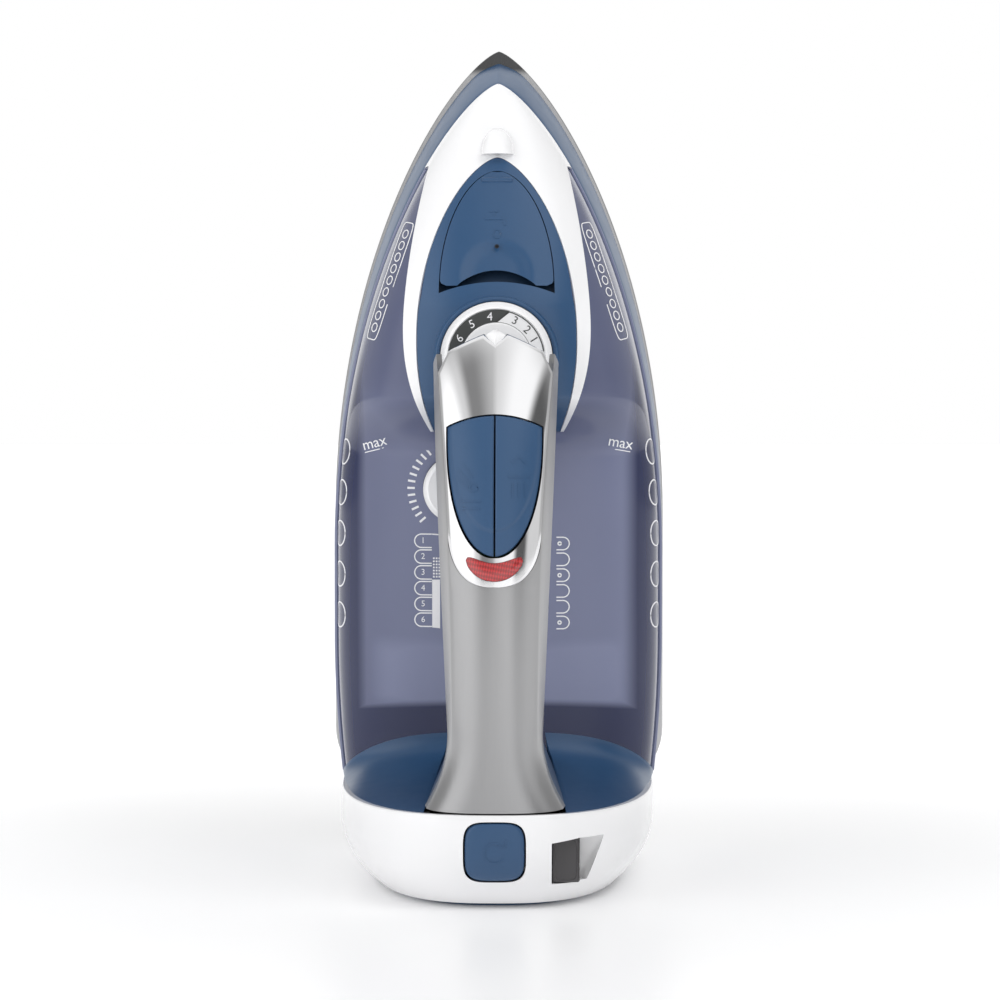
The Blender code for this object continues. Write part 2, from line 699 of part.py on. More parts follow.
def make_spray_nozzle():
    """A half dome on the nose cap, open to the front for its brass tip."""
    rings = []
    outline = ((246.0, 6.0, 6.4), (249.0, 5.9, 6.2), (252.0, 5.2, 5.2), (254.4, 3.9, 3.8), (256.0, 2.4, 2.2))
    for z, radius, rise in outline:
        base = float(deck_height(z)) + GAP
        ring = [(radius * math.cos(a), base + rise * math.sin(a), z) for a in spread(0.0, math.pi, 8)]
        rings.append(ring)
    nozzle = loft("spray_nozzle", rings, "white")
    height = float(deck_height(250.0)) + 1.0 + 2 * GAP
    cut(nozzle, rod("cut_nozzle_bore", (0, height, 0), "z", 1.0 + GAP, (250.0, 262.0), "brass", 12))
    rod("nozzle_tip", (0, height, 0), "z", 1.0, (250.0 + GAP, 254.6), "brass", 12)


def make_dial():
    centre = (0.0, DIAL_LOW, DIAL_STATION)
    depth = DIAL_HIGH - DIAL_LOW
    bore = SPINDLE_RADIUS + GAP / 2
    profile = [(DIAL_RADIUS - 0.8, 0.0), (DIAL_RADIUS, 0.8), (DIAL_RADIUS, depth - 0.8), (DIAL_RADIUS - 0.8, depth),
               (bore, depth), (bore, 0.0)]
    turned("temperature_dial", centre, "h", profile, "white", 40, centre, closed=True)
    rod("dial_spindle", (0, 0, DIAL_STATION), "h", SPINDLE_RADIUS, (COVER_HIGH + GAP + 2.0, DIAL_HIGH - 1.0),
        "brass", 16, centre)


# ---- handle ----
def grip_half_width(z):
    rear = np.clip((GRIP_WAIST - z) / (GRIP_WAIST - HEEL_BAND), 0.0, None)
    return GRIP_HALF_WIDTH + GRIP_FLARE * rear ** 2 + GRIP_SPREAD * np.clip(z - GRIP_WAIST, 0.0, None)


def grip_top(z):
    rear = np.clip((GRIP_PEAK - z) / (GRIP_PEAK - HEEL_BAND), 0.0, None)
    front = np.clip((z - GRIP_PEAK) / (GRIP_FRONT - GRIP_PEAK), 0.0, None)
    return TOTAL_HEIGHT - GRIP_REAR_FALL * rear ** 2 - GRIP_FRONT_FALL * front ** 2.6


def front_taper(z):
    """The cover's front end is rounded in plan."""
    return 1.0 - 0.45 * np.clip((z - 170.0) / (GRIP_FRONT - 170.0), 0.0, 1.0) ** 2.5


def grip_point(z, turn, inset=0.0):
    """A point on the handle's cover; turn runs 0 to pi from its +X edge over the top."""
    width = float(grip_half_width(z) * front_taper(z)) - inset
    across = abs(math.cos(turn)) ** SECTION_POWER * math.copysign(1, math.cos(turn))
    edge = float(grip_top(z)) - COVER_DEPTH
    return (width * across, edge + (COVER_DEPTH - inset) * math.sin(turn) ** SECTION_POWER, z)


def grip_turn(z, x):
    share = min(max(x / float(grip_half_width(z) * front_taper(z)), 0.0), 1.0)
    return math.acos(share ** (1 / SECTION_POWER))


def button_half_width(z):
    """The two buttons form a shield that narrows towards the heel."""
    fall = min(max((150.0 - z) / (150.0 - BUTTON_LOW + 1.5), 0.0), 1.0)
    return BUTTON_HALF_WIDTH * (1 - fall ** 2.4) ** 0.6


def lens_half_width(z):
    share = (z - LENS_LOW) / (LENS_HIGH - LENS_LOW)
    return 5.0 + 4.0 * min(max(share, 0.0), 1.0) ** 0.6


def bezel_inner(z):
    """Half-width of the opening in the chrome bezel."""
    if z >= BUTTON_LOW:
        return button_half_width(z) + 2 * GAP
    return lens_half_width(z) + GAP


def bezel_outer(z):
    """Half-width of the bezel, which widens from a U under the lens to the whole handle."""
    rise = min(max((z - BEZEL_REAR) / (BEZEL_SPLIT - 4.0 - BEZEL_REAR), 0.0), 1.0)
    return 16.6 - 8.6 * (1 - rise) ** 3


def button_well():
    """A straight-sided cutter, so that the buttons can move in without touching the bezel."""
    clearance = 2 * GAP + 0.05
    rows = spread(BUTTON_LOW + 2.0, 120.0, 2) + spread(120.0, BUTTON_HIGH + GAP + 0.05, 8)[1:]
    right = [(button_half_width(z) + clearance, z) for z in rows]
    outline = right + [(-x, z) for x, z in reversed(right)]
    heights = (TOTAL_HEIGHT - 50.0, TOTAL_HEIGHT + 5.0)
    return loft("cut_button_well", [[(x, h, z) for x, z in outline] for h in heights], "chrome")


def bezel_stations():
    """Stations that bezel and cover share along the bezel's U, from its foot to the full width."""
    rows = [BEZEL_REAR + GAP, LENS_LOW - GAP, LENS_LOW + 3.5, LENS_HIGH + GAP, BUTTON_LOW + 2.0]
    return rows + spread(120.0, BEZEL_SPLIT, 4)


def bezel_columns(z):
    turns = [0.0, 0.5 * grip_turn(z, bezel_outer(z) - GAP)]
    turns += spread(2 * turns[1], grip_turn(z, bezel_inner(z)), 2)
    turns += spread(turns[-1], math.pi / 2, 3)[1:]
    return mirrored(turns)


def make_handle_skins():
    """Satin cover, chrome bezel and the openings for buttons and lens."""
    open_low, open_high = LENS_LOW - GAP, BUTTON_HIGH + GAP
    stations = bezel_stations() + [open_high] + spread(open_high, GRIP_FRONT, 5)[1:]

    def keep(i, j):
        column = min(j, 13 - j)
        if column < 2:
            return stations[i] >= BEZEL_SPLIT - 0.1
        return column < 4 or not open_low - 0.1 < stations[i] < open_high - 0.1

    bezel = skin("control_bezel", stations, bezel_columns, keep, grip_point, WALL, "chrome")
    cut(bezel, button_well())

    def cover_columns(z):
        turns = spread(0.0, grip_turn(z, bezel_outer(max(z, BEZEL_REAR))), 3)
        turns += spread(turns[-1], math.pi / 2, 3)[1:]
        return mirrored(turns)

    rows = spread(GRIP_REAR, GRIP_WAIST, 4) + spread(GRIP_WAIST, BEZEL_REAR, 4)[1:]
    rows += bezel_stations()[1:-1] + [BEZEL_SPLIT - GAP]

    def keep_cover(i, j):
        return min(j, 11 - j) < 3 or rows[i] < BEZEL_REAR - 0.1

    cover = skin("handle_cover", rows, cover_columns, keep_cover, grip_point, WALL, "satin")
    cut(cover, button_well())


def make_lens():
    stations = spread(LENS_LOW, LENS_HIGH - GAP, 4)

    def columns(z):
        return mirrored(spread(grip_turn(z, lens_half_width(z) - GAP), math.pi / 2, 4))

    skin("indicator_lens", stations, columns, lambda i, j: True, grip_point, WALL, "red")
    board_low = board_height()
    box("lamp_board", (-9, 9), (board_low, board_low + 1.4), (96.0, 114.0), "board")
    rod("indicator_lamp", (0, 0, 108.6), "h", 2.4, (board_low + 1.4 + GAP, board_low + 9.0), "amber", 12)


def board_height():
    return float(grip_top(114.0)) - COVER_DEPTH + GAP


def make_button(name, side):
    """One half of the button shield; side is +1 or -1 in x."""
    pivot = (side * PUMP_OFFSET, float(grip_top(PUMP_STATION)), PUMP_STATION)
    stations = spread(BUTTON_LOW + 2.6, 128.0, 2) + spread(128.0, BUTTON_HIGH, 4)[1:]

    def columns(z):
        turns = spread(grip_turn(z, button_half_width(z)), grip_turn(z, GAP), 4)
        return turns if side > 0 else [math.pi - turn for turn in reversed(turns)]

    return skin(name, stations, columns, lambda i, j: True, grip_point, BUTTON_THICK, "blue", pivot)


def button_underside(x):
    height = grip_point(PUMP_STATION, grip_turn(PUMP_STATION, x))[1]
    return height - BUTTON_THICK


def make_pump(label, side):
    """Barrel, piston and spring under one button."""
    x = side * PUMP_OFFSET
    centre = (x, 0.0, PUMP_STATION)
    rod_top = button_underside(PUMP_OFFSET + 4.0) - 0.6
    pivot = (x, PISTON_LOW, PUMP_STATION)
    barrel = [(0.8, 0.0), (PUMP_RADIUS, 0.0), (PUMP_RADIUS, PUMP_HIGH - PUMP_LOW),
              (PUMP_RADIUS - PUMP_WALL, PUMP_HIGH - PUMP_LOW), (PUMP_RADIUS - PUMP_WALL, 1.5), (0.8, 1.5)]
    turned(f"{label}_pump_barrel", (x, PUMP_LOW, PUMP_STATION), "h", barrel, "white", 20, closed=True)
    head = PUMP_RADIUS - PUMP_WALL - GAP
    profile = [(head, PISTON_LOW), (head, PISTON_LOW + 4.0), (1.9, PISTON_LOW + 4.0), (1.9, rod_top)]
    turned(f"{label}_piston", centre, "h", profile, "dark", 16, pivot)
    spring(f"{label}_spring", centre, 3.3, 0.45, (PUMP_HIGH + GAP, rod_top - 2.6), 5, "steel")


def make_handle_body():
    """The grip's lower moulding with its pillar, hollow for the pumps."""
    floor, under, over_dial = SADDLE - TAIL_DROP - 2.0, GRIP_UNDERSIDE, DIAL_HIGH + 2.0
    low_edge = [(GRIP_REAR, floor), (42.0, floor), (47.0, under - 32.0), (53.0, under - 12.0),
                (62.0, under - 2.0), (74.0, under), (120.0, under), (133.0, under - 4.0), (140.0, under - 13.0),
                (PILLAR_REAR, under - 26.0), (PILLAR_REAR, SADDLE), (PILLAR_FRONT, SADDLE),
                (PILLAR_FRONT, over_dial), (162.0, over_dial + 0.5), (176.0, over_dial + 1.0)]
    stations = (176.0, 168.0, 158.0, 148.0, 132.0, 110.0, 80.0, 55.0, 42.0, GRIP_REAR)
    top_edge = [(z, float(grip_top(z)) - COVER_DEPTH - GAP) for z in stations]
    top_edge[0] = (176.0, max(top_edge[0][1], over_dial + 2.5))
    profile = low_edge + top_edge
    rings = []
    for side in (-1, 1):
        ring = []
        for z, h in profile:
            width = float(grip_half_width(z) * front_taper(z)) - 0.4
            ring.append((side * width, h, z))
        rings.append(ring)
    body = loft("handle_body", rings, "dark")
    stations = spread(TANK_REAR - 20, CREST_NOSE, 26)
    cut(body, deck_solid("cut_deck_clearance", stations, 10.0, -GAP, 1e6, "dark", 18))
    pocket = box("cut_pump_pocket", (-15.0, 15.0), (PUMP_LOW - GAP, TOTAL_HEIGHT - 10.0), (143.2, 156.8), "dark")
    cut(body, pocket)


def make_pointer():
    """The dial's index mark, set in a notch of the bezel's front edge."""
    top = float(grip_top(GRIP_FRONT))
    cut(bpy.data.objects["control_bezel"],
        box("cut_pointer_notch", (-2.4 - GAP, 2.4 + GAP), (top - 12.0, top + 12.0), (179.4, 190.0), "white"))
    rings = [[(-w, top - 9.0, z), (w, top - 9.0, z), (w, h, z), (0.0, h + 0.9, z), (-w, h, z)]
             for z, w, h in ((179.4 + GAP, 0.9, float(grip_top(180.0)) - 2.0), (184.0, 2.4, top - 3.0))]
    loft("dial_pointer", rings, "white")


# ---- auto-clean valve ----
def make_clean_valve():
    """The white button on the deck, its rod through the tank, its spring and valve seat."""
    deck = deck_point(CLEAN_STATION, deck_turn(CLEAN_STATION, abs(CLEAN_X)), WALL + 2 * GAP)[1]
    low = deck + CLEAN_TRAVEL + 2.0
    centre = (CLEAN_X, 0.0, CLEAN_STATION)
    pivot = (CLEAN_X, low, CLEAN_STATION)
    profile = [(CLEAN_RADIUS - 0.6, low), (CLEAN_RADIUS, low + 0.8), (CLEAN_RADIUS, low + 2.6),
               (CLEAN_RADIUS - 1.6, low + 4.0)]
    turned("auto_clean_button", centre, "h", profile, "white", 36, pivot)
    rod("clean_rod", centre, "h", 1.8, (TANK_LOW - 0.6, low - GAP), "steel", 12, pivot)
    spring("clean_spring", centre, 3.6, 0.4, (deck + 2 * GAP, low - GAP), 2, "steel")
    seat_low = COVER_HIGH + GAP
    tube("steam_valve_seat", centre, "h", (2.4, VALVE_RADIUS), (seat_low, TANK_SEAM - 0.5), "brass", 16)


# ---- heel, cord reel and rewind ----
def heel_inset(z):
    """The heel draws in towards the foot in a rounded edge."""
    return 11.0 * np.clip(1 - (z - HEEL_LOW) / 20.0, 0.0, 1.0) ** 2.2


def heel_ring(z, inset, low=HEEL_UNDER, steps=20, corner=8.0):
    """The heel's D outline at a station: an arch over straight sides and round corners."""
    half = HEEL_HALF_WIDTH - inset
    top = HEEL_ARCH_TOP - inset
    ring = []
    for turn in spread(0.0, math.pi, steps):
        across = abs(math.cos(turn)) ** HEEL_ARCH_POWER * math.copysign(1, math.cos(turn))
        up = math.sin(turn) ** HEEL_ARCH_POWER if 0 < turn < math.pi else 0.0
        ring.append((half * across, HEEL_ARCH_START + (top - HEEL_ARCH_START) * up, z))
    for side, start in ((-1, math.pi), (1, 1.5 * math.pi)):
        for turn in spread(start, start + math.pi / 2, 3):
            ring.append((side * (half - corner) + corner * math.cos(turn),
                         low + corner + corner * math.sin(turn), z))
    return ring


def make_heel_cover():
    stations = (HEEL_LOW, 3.4, 6.5, 11.0, 17.0, HEEL_BAND)
    cover = loft("heel_cover", [heel_ring(z, float(heel_inset(z))) for z in stations], "white")
    floor = HEEL_LOW + 2.6
    inside = (floor, 6.5, 11.0, 17.0, HEEL_BAND + 2.0)
    rings = [heel_ring(z, float(heel_inset(z)) + 2.2, HEEL_UNDER + 2.2) for z in inside]
    cut(cover, loft("cut_heel_hollow", rings, "white"))
    half = REWIND_SIZE / 2
    through = (HEEL_ARCH_TOP - 28.0, HEEL_ARCH_TOP + 12.0)
    cut(cover, box("cut_rewind_hole", (-half, half), (through[0] + 10.0, through[1]),
                   (REWIND_STATION - half, REWIND_STATION + half), "white"))
    cut(cover, box("cut_outlet", (OUTLET_X - OUTLET_HALF_WIDTH, OUTLET_X + OUTLET_HALF_WIDTH), through,
                   (OUTLET_STATION - OUTLET_HALF_LENGTH, OUTLET_STATION + OUTLET_HALF_LENGTH), "white"))


def heel_deck_point(z, turn, inset):
    """A concave sweep from the tank's roof up to the heel's arch."""
    run = (z - HEEL_BAND - GAP) / (TANK_REAR - HEEL_BAND - 2 * GAP)
    share = max(1 - run, 0.0) ** 3
    low = deck_point(z, turn, WALL + 2 * GAP + inset)
    half = HEEL_HALF_WIDTH - WALL - 1.5 - inset
    across = abs(math.cos(turn)) ** HEEL_ARCH_POWER * math.copysign(1, math.cos(turn))
    rise = HEEL_ARCH_TOP - 1.0 - inset - SHOULDER
    high = (half * across, SHOULDER + rise * math.sin(turn) ** HEEL_ARCH_POWER)
    return (low[0] + (high[0] - low[0]) * share, low[1] + (high[1] - low[1]) * share, z)


def make_heel_deck():
    """The blue scoops between tank and heel, notched for the handle."""
    stations = [HEEL_BAND + GAP, 32.6, 34.2, 36.4, 39.4, TANK_REAR - GAP]
    turns = spread(0.0, math.pi, 20)
    deck = skin("heel_deck", stations, lambda z: turns, lambda i, j: True, heel_deck_point, WALL, "blue")
    floor = SADDLE - TAIL_DROP - 1.5
    rings = []
    for z in (HEEL_BAND - 2.0, HEEL_BAND, 36.0, 42.0, 60.0):
        width = float(grip_half_width(z)) + 2 * GAP
        rings.append([(-width, floor, z), (width, floor, z), (width, TOTAL_HEIGHT + 20, z),
                      (-width, TOTAL_HEIGHT + 20, z)])
    cut(deck, loft("cut_handle_notch", rings, "blue"))


def make_heel_foot():
    rings = [heel_ring(0.0, 17.0, 9.0), heel_ring(HEEL_LOW - GAP, 16.0, 8.0)]
    loft("heel_foot", rings, "blue")


def make_reel():
    centre = (0.0, REEL_HEIGHT, 0.0)
    pivot = (0.0, REEL_HEIGHT, 17.0)
    bore = AXLE_RADIUS + GAP
    low, high, flange, hub = REEL_LOW, REEL_HIGH, REEL_FLANGE, REEL_HUB
    profile = [(bore, low), (REEL_RADIUS, low), (REEL_RADIUS, low + flange), (hub, low + flange),
               (hub, high - flange), (REEL_RADIUS, high - flange), (REEL_RADIUS, high), (bore, high)]
    turned("cord_reel", centre, "z", profile, "white", 40, pivot, closed=True)
    axle = [(0.0, HEEL_LOW + 2.6 + GAP), (9.0, HEEL_LOW + 2.6 + GAP), (9.0, 6.6), (AXLE_RADIUS, 6.6),
            (AXLE_RADIUS, 30.4), (0.0, 30.4)]
    turned("reel_axle", centre, "z", axle[1:-1], "steel", 20)
    tube("reel_spring_case", centre, "z", (bore, 23.0), (high + GAP, 30.2), "dark", 28)
    for label, height in (("upper", REEL_HEIGHT + 14.0), ("lower", REEL_HEIGHT - 14.0)):
        box(f"contact_brush_{label}", (-3.0, 3.0), (height - 2.0, height + 2.0),
            (HEEL_LOW + 2.6 + GAP, low - GAP), "brass")


def make_rewind():
    """Rewind button and the brake lever that it tips off the reel."""
    half = REWIND_SIZE / 2 - GAP
    pivot = (0.0, HEEL_ARCH_TOP, REWIND_STATION)
    rings = []
    for z in spread(REWIND_STATION - half, REWIND_STATION + half, 4):
        top = HEEL_ARCH_TOP - float(heel_inset(z)) + 0.6
        under = HEEL_ARCH_TOP - 11.0
        rings.append([(-half, under, z), (half, under, z), (half, top - 0.8, z), (half - 3.0, top, z),
                      (3.0 - half, top, z), (-half, top - 0.8, z)])
    button = loft("rewind_button", rings, "blue", pivot)
    reach = (HEEL_ARCH_TOP - 20.6, HEEL_ARCH_TOP - 9.0)
    join(button, box("add_rewind_plunger", (-4.0, 4.0), reach, (21.5, 25.5), "blue"))
    outline = [(6.0, 25.0), (6.0, 22.0), (-20.0, 20.0), (-26.0, 20.0), (-32.5, 29.0), (-32.0, 41.5),
               (-29.5, 41.5), (-28.0, 30.0), (-22.0, 26.5)]
    rings = [[(x, HEEL_ARCH_TOP - drop, z) for x, drop in outline] for z in (21.0, 26.4)]
    lever = loft("brake_lever", rings, "dark", (*LEVER_PIVOT, 23.7))
    cut(lever, rod("cut_lever_bore", (*LEVER_PIVOT, 0.0), "z", LEVER_BORE + GAP, (18.0, 30.0), "dark", 16))
    rod("brake_lever_pin", (*LEVER_PIVOT, 0.0), "z", LEVER_BORE, (15.0, 29.5), "steel", 16)


def make_outlet_bush():
    x = (OUTLET_X - OUTLET_HALF_WIDTH + GAP, OUTLET_X + OUTLET_HALF_WIDTH - GAP)
    z = (OUTLET_STATION - OUTLET_HALF_LENGTH + GAP, OUTLET_STATION + OUTLET_HALF_LENGTH - GAP)
    low, high = HEEL_ARCH_TOP - 15.0, HEEL_ARCH_TOP - 8.5
    bush = box("outlet_bush", x, (low, high), z, "dark")
    cut(bush, box("cut_bush", (x[0] + 1.3, x[1] - 1.3), (low - 3, high + 5), (z[0] + 1.3, z[1] - 1.3), "dark"))


def make_fixings():
    box("terminal_block", (-14.0, 14.0), (8.5, 18.5), (8.0, 24.0), "ceramic")
    for label, x, z in (("front", 0.0, 240.0), ("left", -24.0, 66.0), ("right", 24.0, 66.0)):
        hole = (x, 0.0, z)
        for plate_name in ("steam_chamber_cover", "heat_shield"):
            cut(bpy.data.objects[plate_name],
                rod(f"cut_{plate_name}_{label}", hole, "h", SCREW_RADIUS + GAP,
                    (COVER_LOW - 2, SHIELD_HIGH + 2), "steel", 12))
        cut(bpy.data.objects["heater_casting"],
            rod(f"cut_casting_{label}", hole, "h", SCREW_RADIUS + GAP,
                (CASTING_HIGH - 6, CASTING_HIGH + 2), "steel", 12))
        top = SHIELD_HIGH + GAP / 2
        profile = [(SCREW_RADIUS, CASTING_HIGH - 5.6), (SCREW_RADIUS, top), (3.0, top),
                   (3.0, top + SCREW_HEAD - GAP / 2)]
        turned(f"base_screw_{label}", hole, "h", profile, "steel", 16)


def main():
    clear_scene()
    make_soleplate()
    make_hot_base()
    make_thermostat()
    make_skirt()
    make_tank()
    make_front_shell()
    make_centre_panel()
    make_fill_door()
    make_fill_neck()
    make_spray_nozzle()
    make_dial()
    make_handle_skins()
    make_lens()
    for label, side in (("spray", -1), ("steam", 1)):
        make_button(f"{label}_button", side)
        make_pump(label, side)
    make_handle_body()
    make_pointer()
    make_clean_valve()
    make_heel_cover()
    make_heel_deck()
    make_heel_foot()
    make_reel()
    make_rewind()
    make_outlet_bush()
    make_fixings()


main()
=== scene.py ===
"""Steam iron with a retractable cord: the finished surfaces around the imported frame.

Shapes are written in millimetres as (x, height, station): x is sideways, the height is
measured from the soleplate's face towards the handle, and the station runs from the
heel's foot to the nose.  world() turns them into metres in the frame's own axes.
"""
import math

import bmesh
import bpy
import numpy as np
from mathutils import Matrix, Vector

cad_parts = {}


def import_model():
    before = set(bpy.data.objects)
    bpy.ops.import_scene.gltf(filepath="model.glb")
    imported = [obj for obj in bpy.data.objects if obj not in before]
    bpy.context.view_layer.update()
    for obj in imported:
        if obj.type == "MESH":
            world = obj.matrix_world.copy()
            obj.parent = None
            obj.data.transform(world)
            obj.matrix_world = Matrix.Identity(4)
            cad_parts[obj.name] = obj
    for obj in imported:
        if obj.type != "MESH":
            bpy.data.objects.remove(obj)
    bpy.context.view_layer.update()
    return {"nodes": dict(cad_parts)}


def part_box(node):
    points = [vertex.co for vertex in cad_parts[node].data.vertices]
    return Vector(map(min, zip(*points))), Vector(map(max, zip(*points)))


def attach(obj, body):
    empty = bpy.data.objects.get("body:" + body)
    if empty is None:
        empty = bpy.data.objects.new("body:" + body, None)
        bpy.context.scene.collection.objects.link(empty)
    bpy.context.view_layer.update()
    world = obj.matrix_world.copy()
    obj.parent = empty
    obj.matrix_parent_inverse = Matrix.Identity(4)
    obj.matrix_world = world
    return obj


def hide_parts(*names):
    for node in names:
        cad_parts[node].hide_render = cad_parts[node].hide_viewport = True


bl_info = {
    "name": "Steam Iron",
    "version": (1, 0, 0),
    "blender": (4, 5, 0),
    "location": "View3D > Sidebar > Iron",
    "description": "Builds the visible surfaces of a steam iron around its frame",
    "category": "Object",
}

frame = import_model()
MM = 0.001


def span(node, axis):
    """Lowest and highest value of a frame node along an axis, in millimetres."""
    low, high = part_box(node)
    return low[axis] / MM, high[axis] / MM


# ---- sizes taken from the frame ----
SOLE_FACE = span("soleplate", 1)[1]
SOLE_HALF = span("soleplate", 0)[1]
SOLE_REAR, LENGTH = span("soleplate", 2)
SOLE_THICK = SOLE_FACE - span("soleplate", 1)[0]
TOTAL_HEIGHT = SOLE_FACE - span("handle_cover", 1)[0]
HEEL_LOW, HEEL_BAND = span("heel_cover", 2)
HEEL_HALF = span("heel_cover", 0)[1]
HEEL_TOP = SOLE_FACE - span("heel_cover", 1)[0]
HEEL_UNDER = SOLE_FACE - span("heel_cover", 1)[1]
SHOULDER = SOLE_FACE - span("front_shell", 1)[1]
TANK_REAR = span("water_tank", 2)[0]
DIAL_STATION = sum(span("temperature_dial", 2)) / 2
DIAL_RADIUS = span("temperature_dial", 0)[1]
DIAL_TOP = SOLE_FACE - span("temperature_dial", 1)[0]
DIAL_LOW = SOLE_FACE - span("temperature_dial", 1)[1]
GRIP_REAR = span("handle_cover", 2)[0]
GRIP_FRONT = span("control_bezel", 2)[1]
BEZEL_REAR = span("control_bezel", 2)[0]
LENS_LOW = span("indicator_lens", 2)[0]
DOOR_REAR = span("fill_door", 2)[0]
PANEL_REAR = span("centre_panel", 2)[0]
CLEAN_X = sum(span("auto_clean_button", 0)) / 2
CLEAN_STATION = sum(span("auto_clean_button", 2)) / 2
CLEAN_RADIUS = (span("auto_clean_button", 0)[1] - span("auto_clean_button", 0)[0]) / 2
CLEAN_TOP = SOLE_FACE - span("auto_clean_button", 1)[0]
REWIND_STATION = sum(span("rewind_button", 2)) / 2
OUTLET_X = sum(span("outlet_bush", 0)) / 2
OUTLET_STATION = sum(span("outlet_bush", 2)) / 2
HINGE_STATION = sum(span("fill_door_pin", 2)) / 2

# ---- proportions of the curves ----
NOSE_POWER = 0.73
SOLE_WIDEST = 120.0
BODY_WIDEST = 110.0
BODY_TIP = LENGTH - 14.6
SKIRT_TIP = LENGTH - 2.6
SOLE_CORNER = 24.0
CREST = 88.0
CREST_NOSE = 193.0
CREST_REAR = 163.0
SADDLE = 66.0
SADDLE_RUN = 19.0
TAIL_DROP = 4.0
DOOR_NOSE = 240.0
PANEL_NOSE = 245.0
PANEL_WIDEST = 182.0
WINDOW_NOSE = 243.0
WINDOW_WIDEST = 186.0
COVER_DEPTH = 20.0
DIAL_GAP = 0.5            # round the dial, in the panel
CLEAN_GAP = 0.35          # round the valve's button, in the tank
GRIP_WAIST = 55.0
GRIP_PEAK = 97.0
ARCH_START = 30.0
BODY_SECTION = 2.5        # superellipse exponents
HEEL_SECTION = 2.65


# ---- curves of the body, for whole arrays of stations ----
def ease(t):
    """Smooth step from 0 to 1."""
    t = np.clip(t, 0.0, 1.0)
    return t * t * (3 - 2 * t)


def arch(z, width, widest, tip):
    """Half-width of a pointed arch: width * (1 - s^2)^power, s running from widest to tip."""
    s = np.clip((z - widest) / (tip - widest), 0.0, 1.0)
    return width * (1 - s ** 2) ** NOSE_POWER


def pinch(z):
    """Draws the outline in towards the heel, by the square of the way to its band."""
    return 2.8 * np.clip((80.0 - z) / (80.0 - HEEL_BAND), 0.0, None) ** 2


def sole_half(z):
    """The sole's half-width: the pointed arch less a quarter circle at each rear corner."""
    rear = np.clip((SOLE_REAR + SOLE_CORNER - z) / SOLE_CORNER, 0.0, 1.0)
    return arch(z, SOLE_HALF, SOLE_WIDEST, LENGTH) - SOLE_CORNER * (1 - np.sqrt(1 - rear ** 2))


def body_half(z):
    """The upper body's half-width: the pointed arch less the pinch."""
    return arch(z, SOLE_HALF - 1.5, BODY_WIDEST, BODY_TIP) - pinch(z)


def skirt_half(z):
    """The skirt's half-width at the sole: the pointed arch less the pinch."""
    return arch(z, SOLE_HALF - 0.75, SOLE_WIDEST, SKIRT_TIP) - pinch(z)


def deck(z):
    """Height of the deck on the centre line: slope, level crest, step down, gentle tail."""
    nose = np.clip((z - CREST_NOSE) / (BODY_TIP - CREST_NOSE), 0.0, 1.0)
    step = ease((CREST_REAR - z) / SADDLE_RUN)
    start = CREST_REAR - SADDLE_RUN
    tail = np.clip((start - z) / (start - TANK_REAR), 0.0, 1.0)
    return CREST - (CREST - SHOULDER) * nose ** 1.35 - (CREST - SADDLE) * step - TAIL_DROP * tail


def round_power(value, power):
    """Power of a sine or cosine that keeps its sign."""
    return np.sign(value) * np.abs(value) ** power


def deck_surface(z, turn, inset=0.0):
    """Superellipse section over the shoulder; turn runs 0 to pi from the +X side."""
    width = np.maximum(body_half(z) - inset, 0.3)
    rise = np.maximum(deck(z) - inset - SHOULDER, 0.3)
    power = 2 / BODY_SECTION
    x = width * round_power(np.cos(turn), power)
    return np.stack([x, SHOULDER + rise * round_power(np.sin(turn), power), z + 0 * turn], -1)


def deck_height_at(x, z, inset=0.0):
    """Height of the same surface over a point of the plan."""
    share = np.clip(np.abs(x) / np.maximum(body_half(z) - inset, 0.3), 0.0, 1.0)
    rise = np.maximum(deck(z) - inset - SHOULDER, 0.3)
    return SHOULDER + rise * (1 - share ** BODY_SECTION) ** (1 / BODY_SECTION)


def deck_turn(z, x):
    """The turn at which the surface reaches half-width x."""
    share = np.clip(x / np.maximum(body_half(z), 0.3), 0.0, 1.0)
    return np.arccos(share ** (BODY_SECTION / 2))


def panel_half(z):
    """The centre panel's half-width: widest at one station, a power curve to each end."""
    nose = np.clip((z - PANEL_WIDEST) / (PANEL_NOSE - PANEL_WIDEST), 0.0, 1.0)
    rear = np.clip((PANEL_WIDEST - z) / (PANEL_WIDEST - PANEL_REAR), 0.0, 1.0)
    return 27.0 * (1 - nose ** 2) ** 0.66 - 5.5 * rear ** 2.2


def window_edge(z):
    """Half-width at which the side window meets the nose cap's limb."""
    nose = np.clip((z - WINDOW_WIDEST) / (WINDOW_NOSE - WINDOW_WIDEST), 0.0, 2.0)
    rear = np.clip((WINDOW_WIDEST - z) / (WINDOW_WIDEST - PANEL_REAR), 0.0, 1.0)
    return 31.5 - 7.5 * nose ** 1.6 - 9.0 * rear ** 2.2


def door_half(z):
    """The fill door's half-width: an arch that closes at the door's nose."""
    nose = np.clip((z - DOOR_REAR) / (DOOR_NOSE - DOOR_REAR), 0.0, 1.0)
    return 19.2 * (1 - nose ** 2) ** 0.55


def grip_top(z):
    """Height of the grip's ridge: square fall to the heel, steeper fall to the front."""
    rear = np.clip((GRIP_PEAK - z) / (GRIP_PEAK - HEEL_BAND), 0.0, None)
    front = np.clip((z - GRIP_PEAK) / (GRIP_FRONT - GRIP_PEAK), 0.0, None)
    return TOTAL_HEIGHT - 3.0 * rear ** 2 - 34.0 * front ** 2.6


def heel_inset(z):
    """How far the heel draws in towards its foot: a power of the way down."""
    return 11.0 * np.clip(1 - (z - HEEL_LOW) / 20.0, 0.0, 1.0) ** 2.2


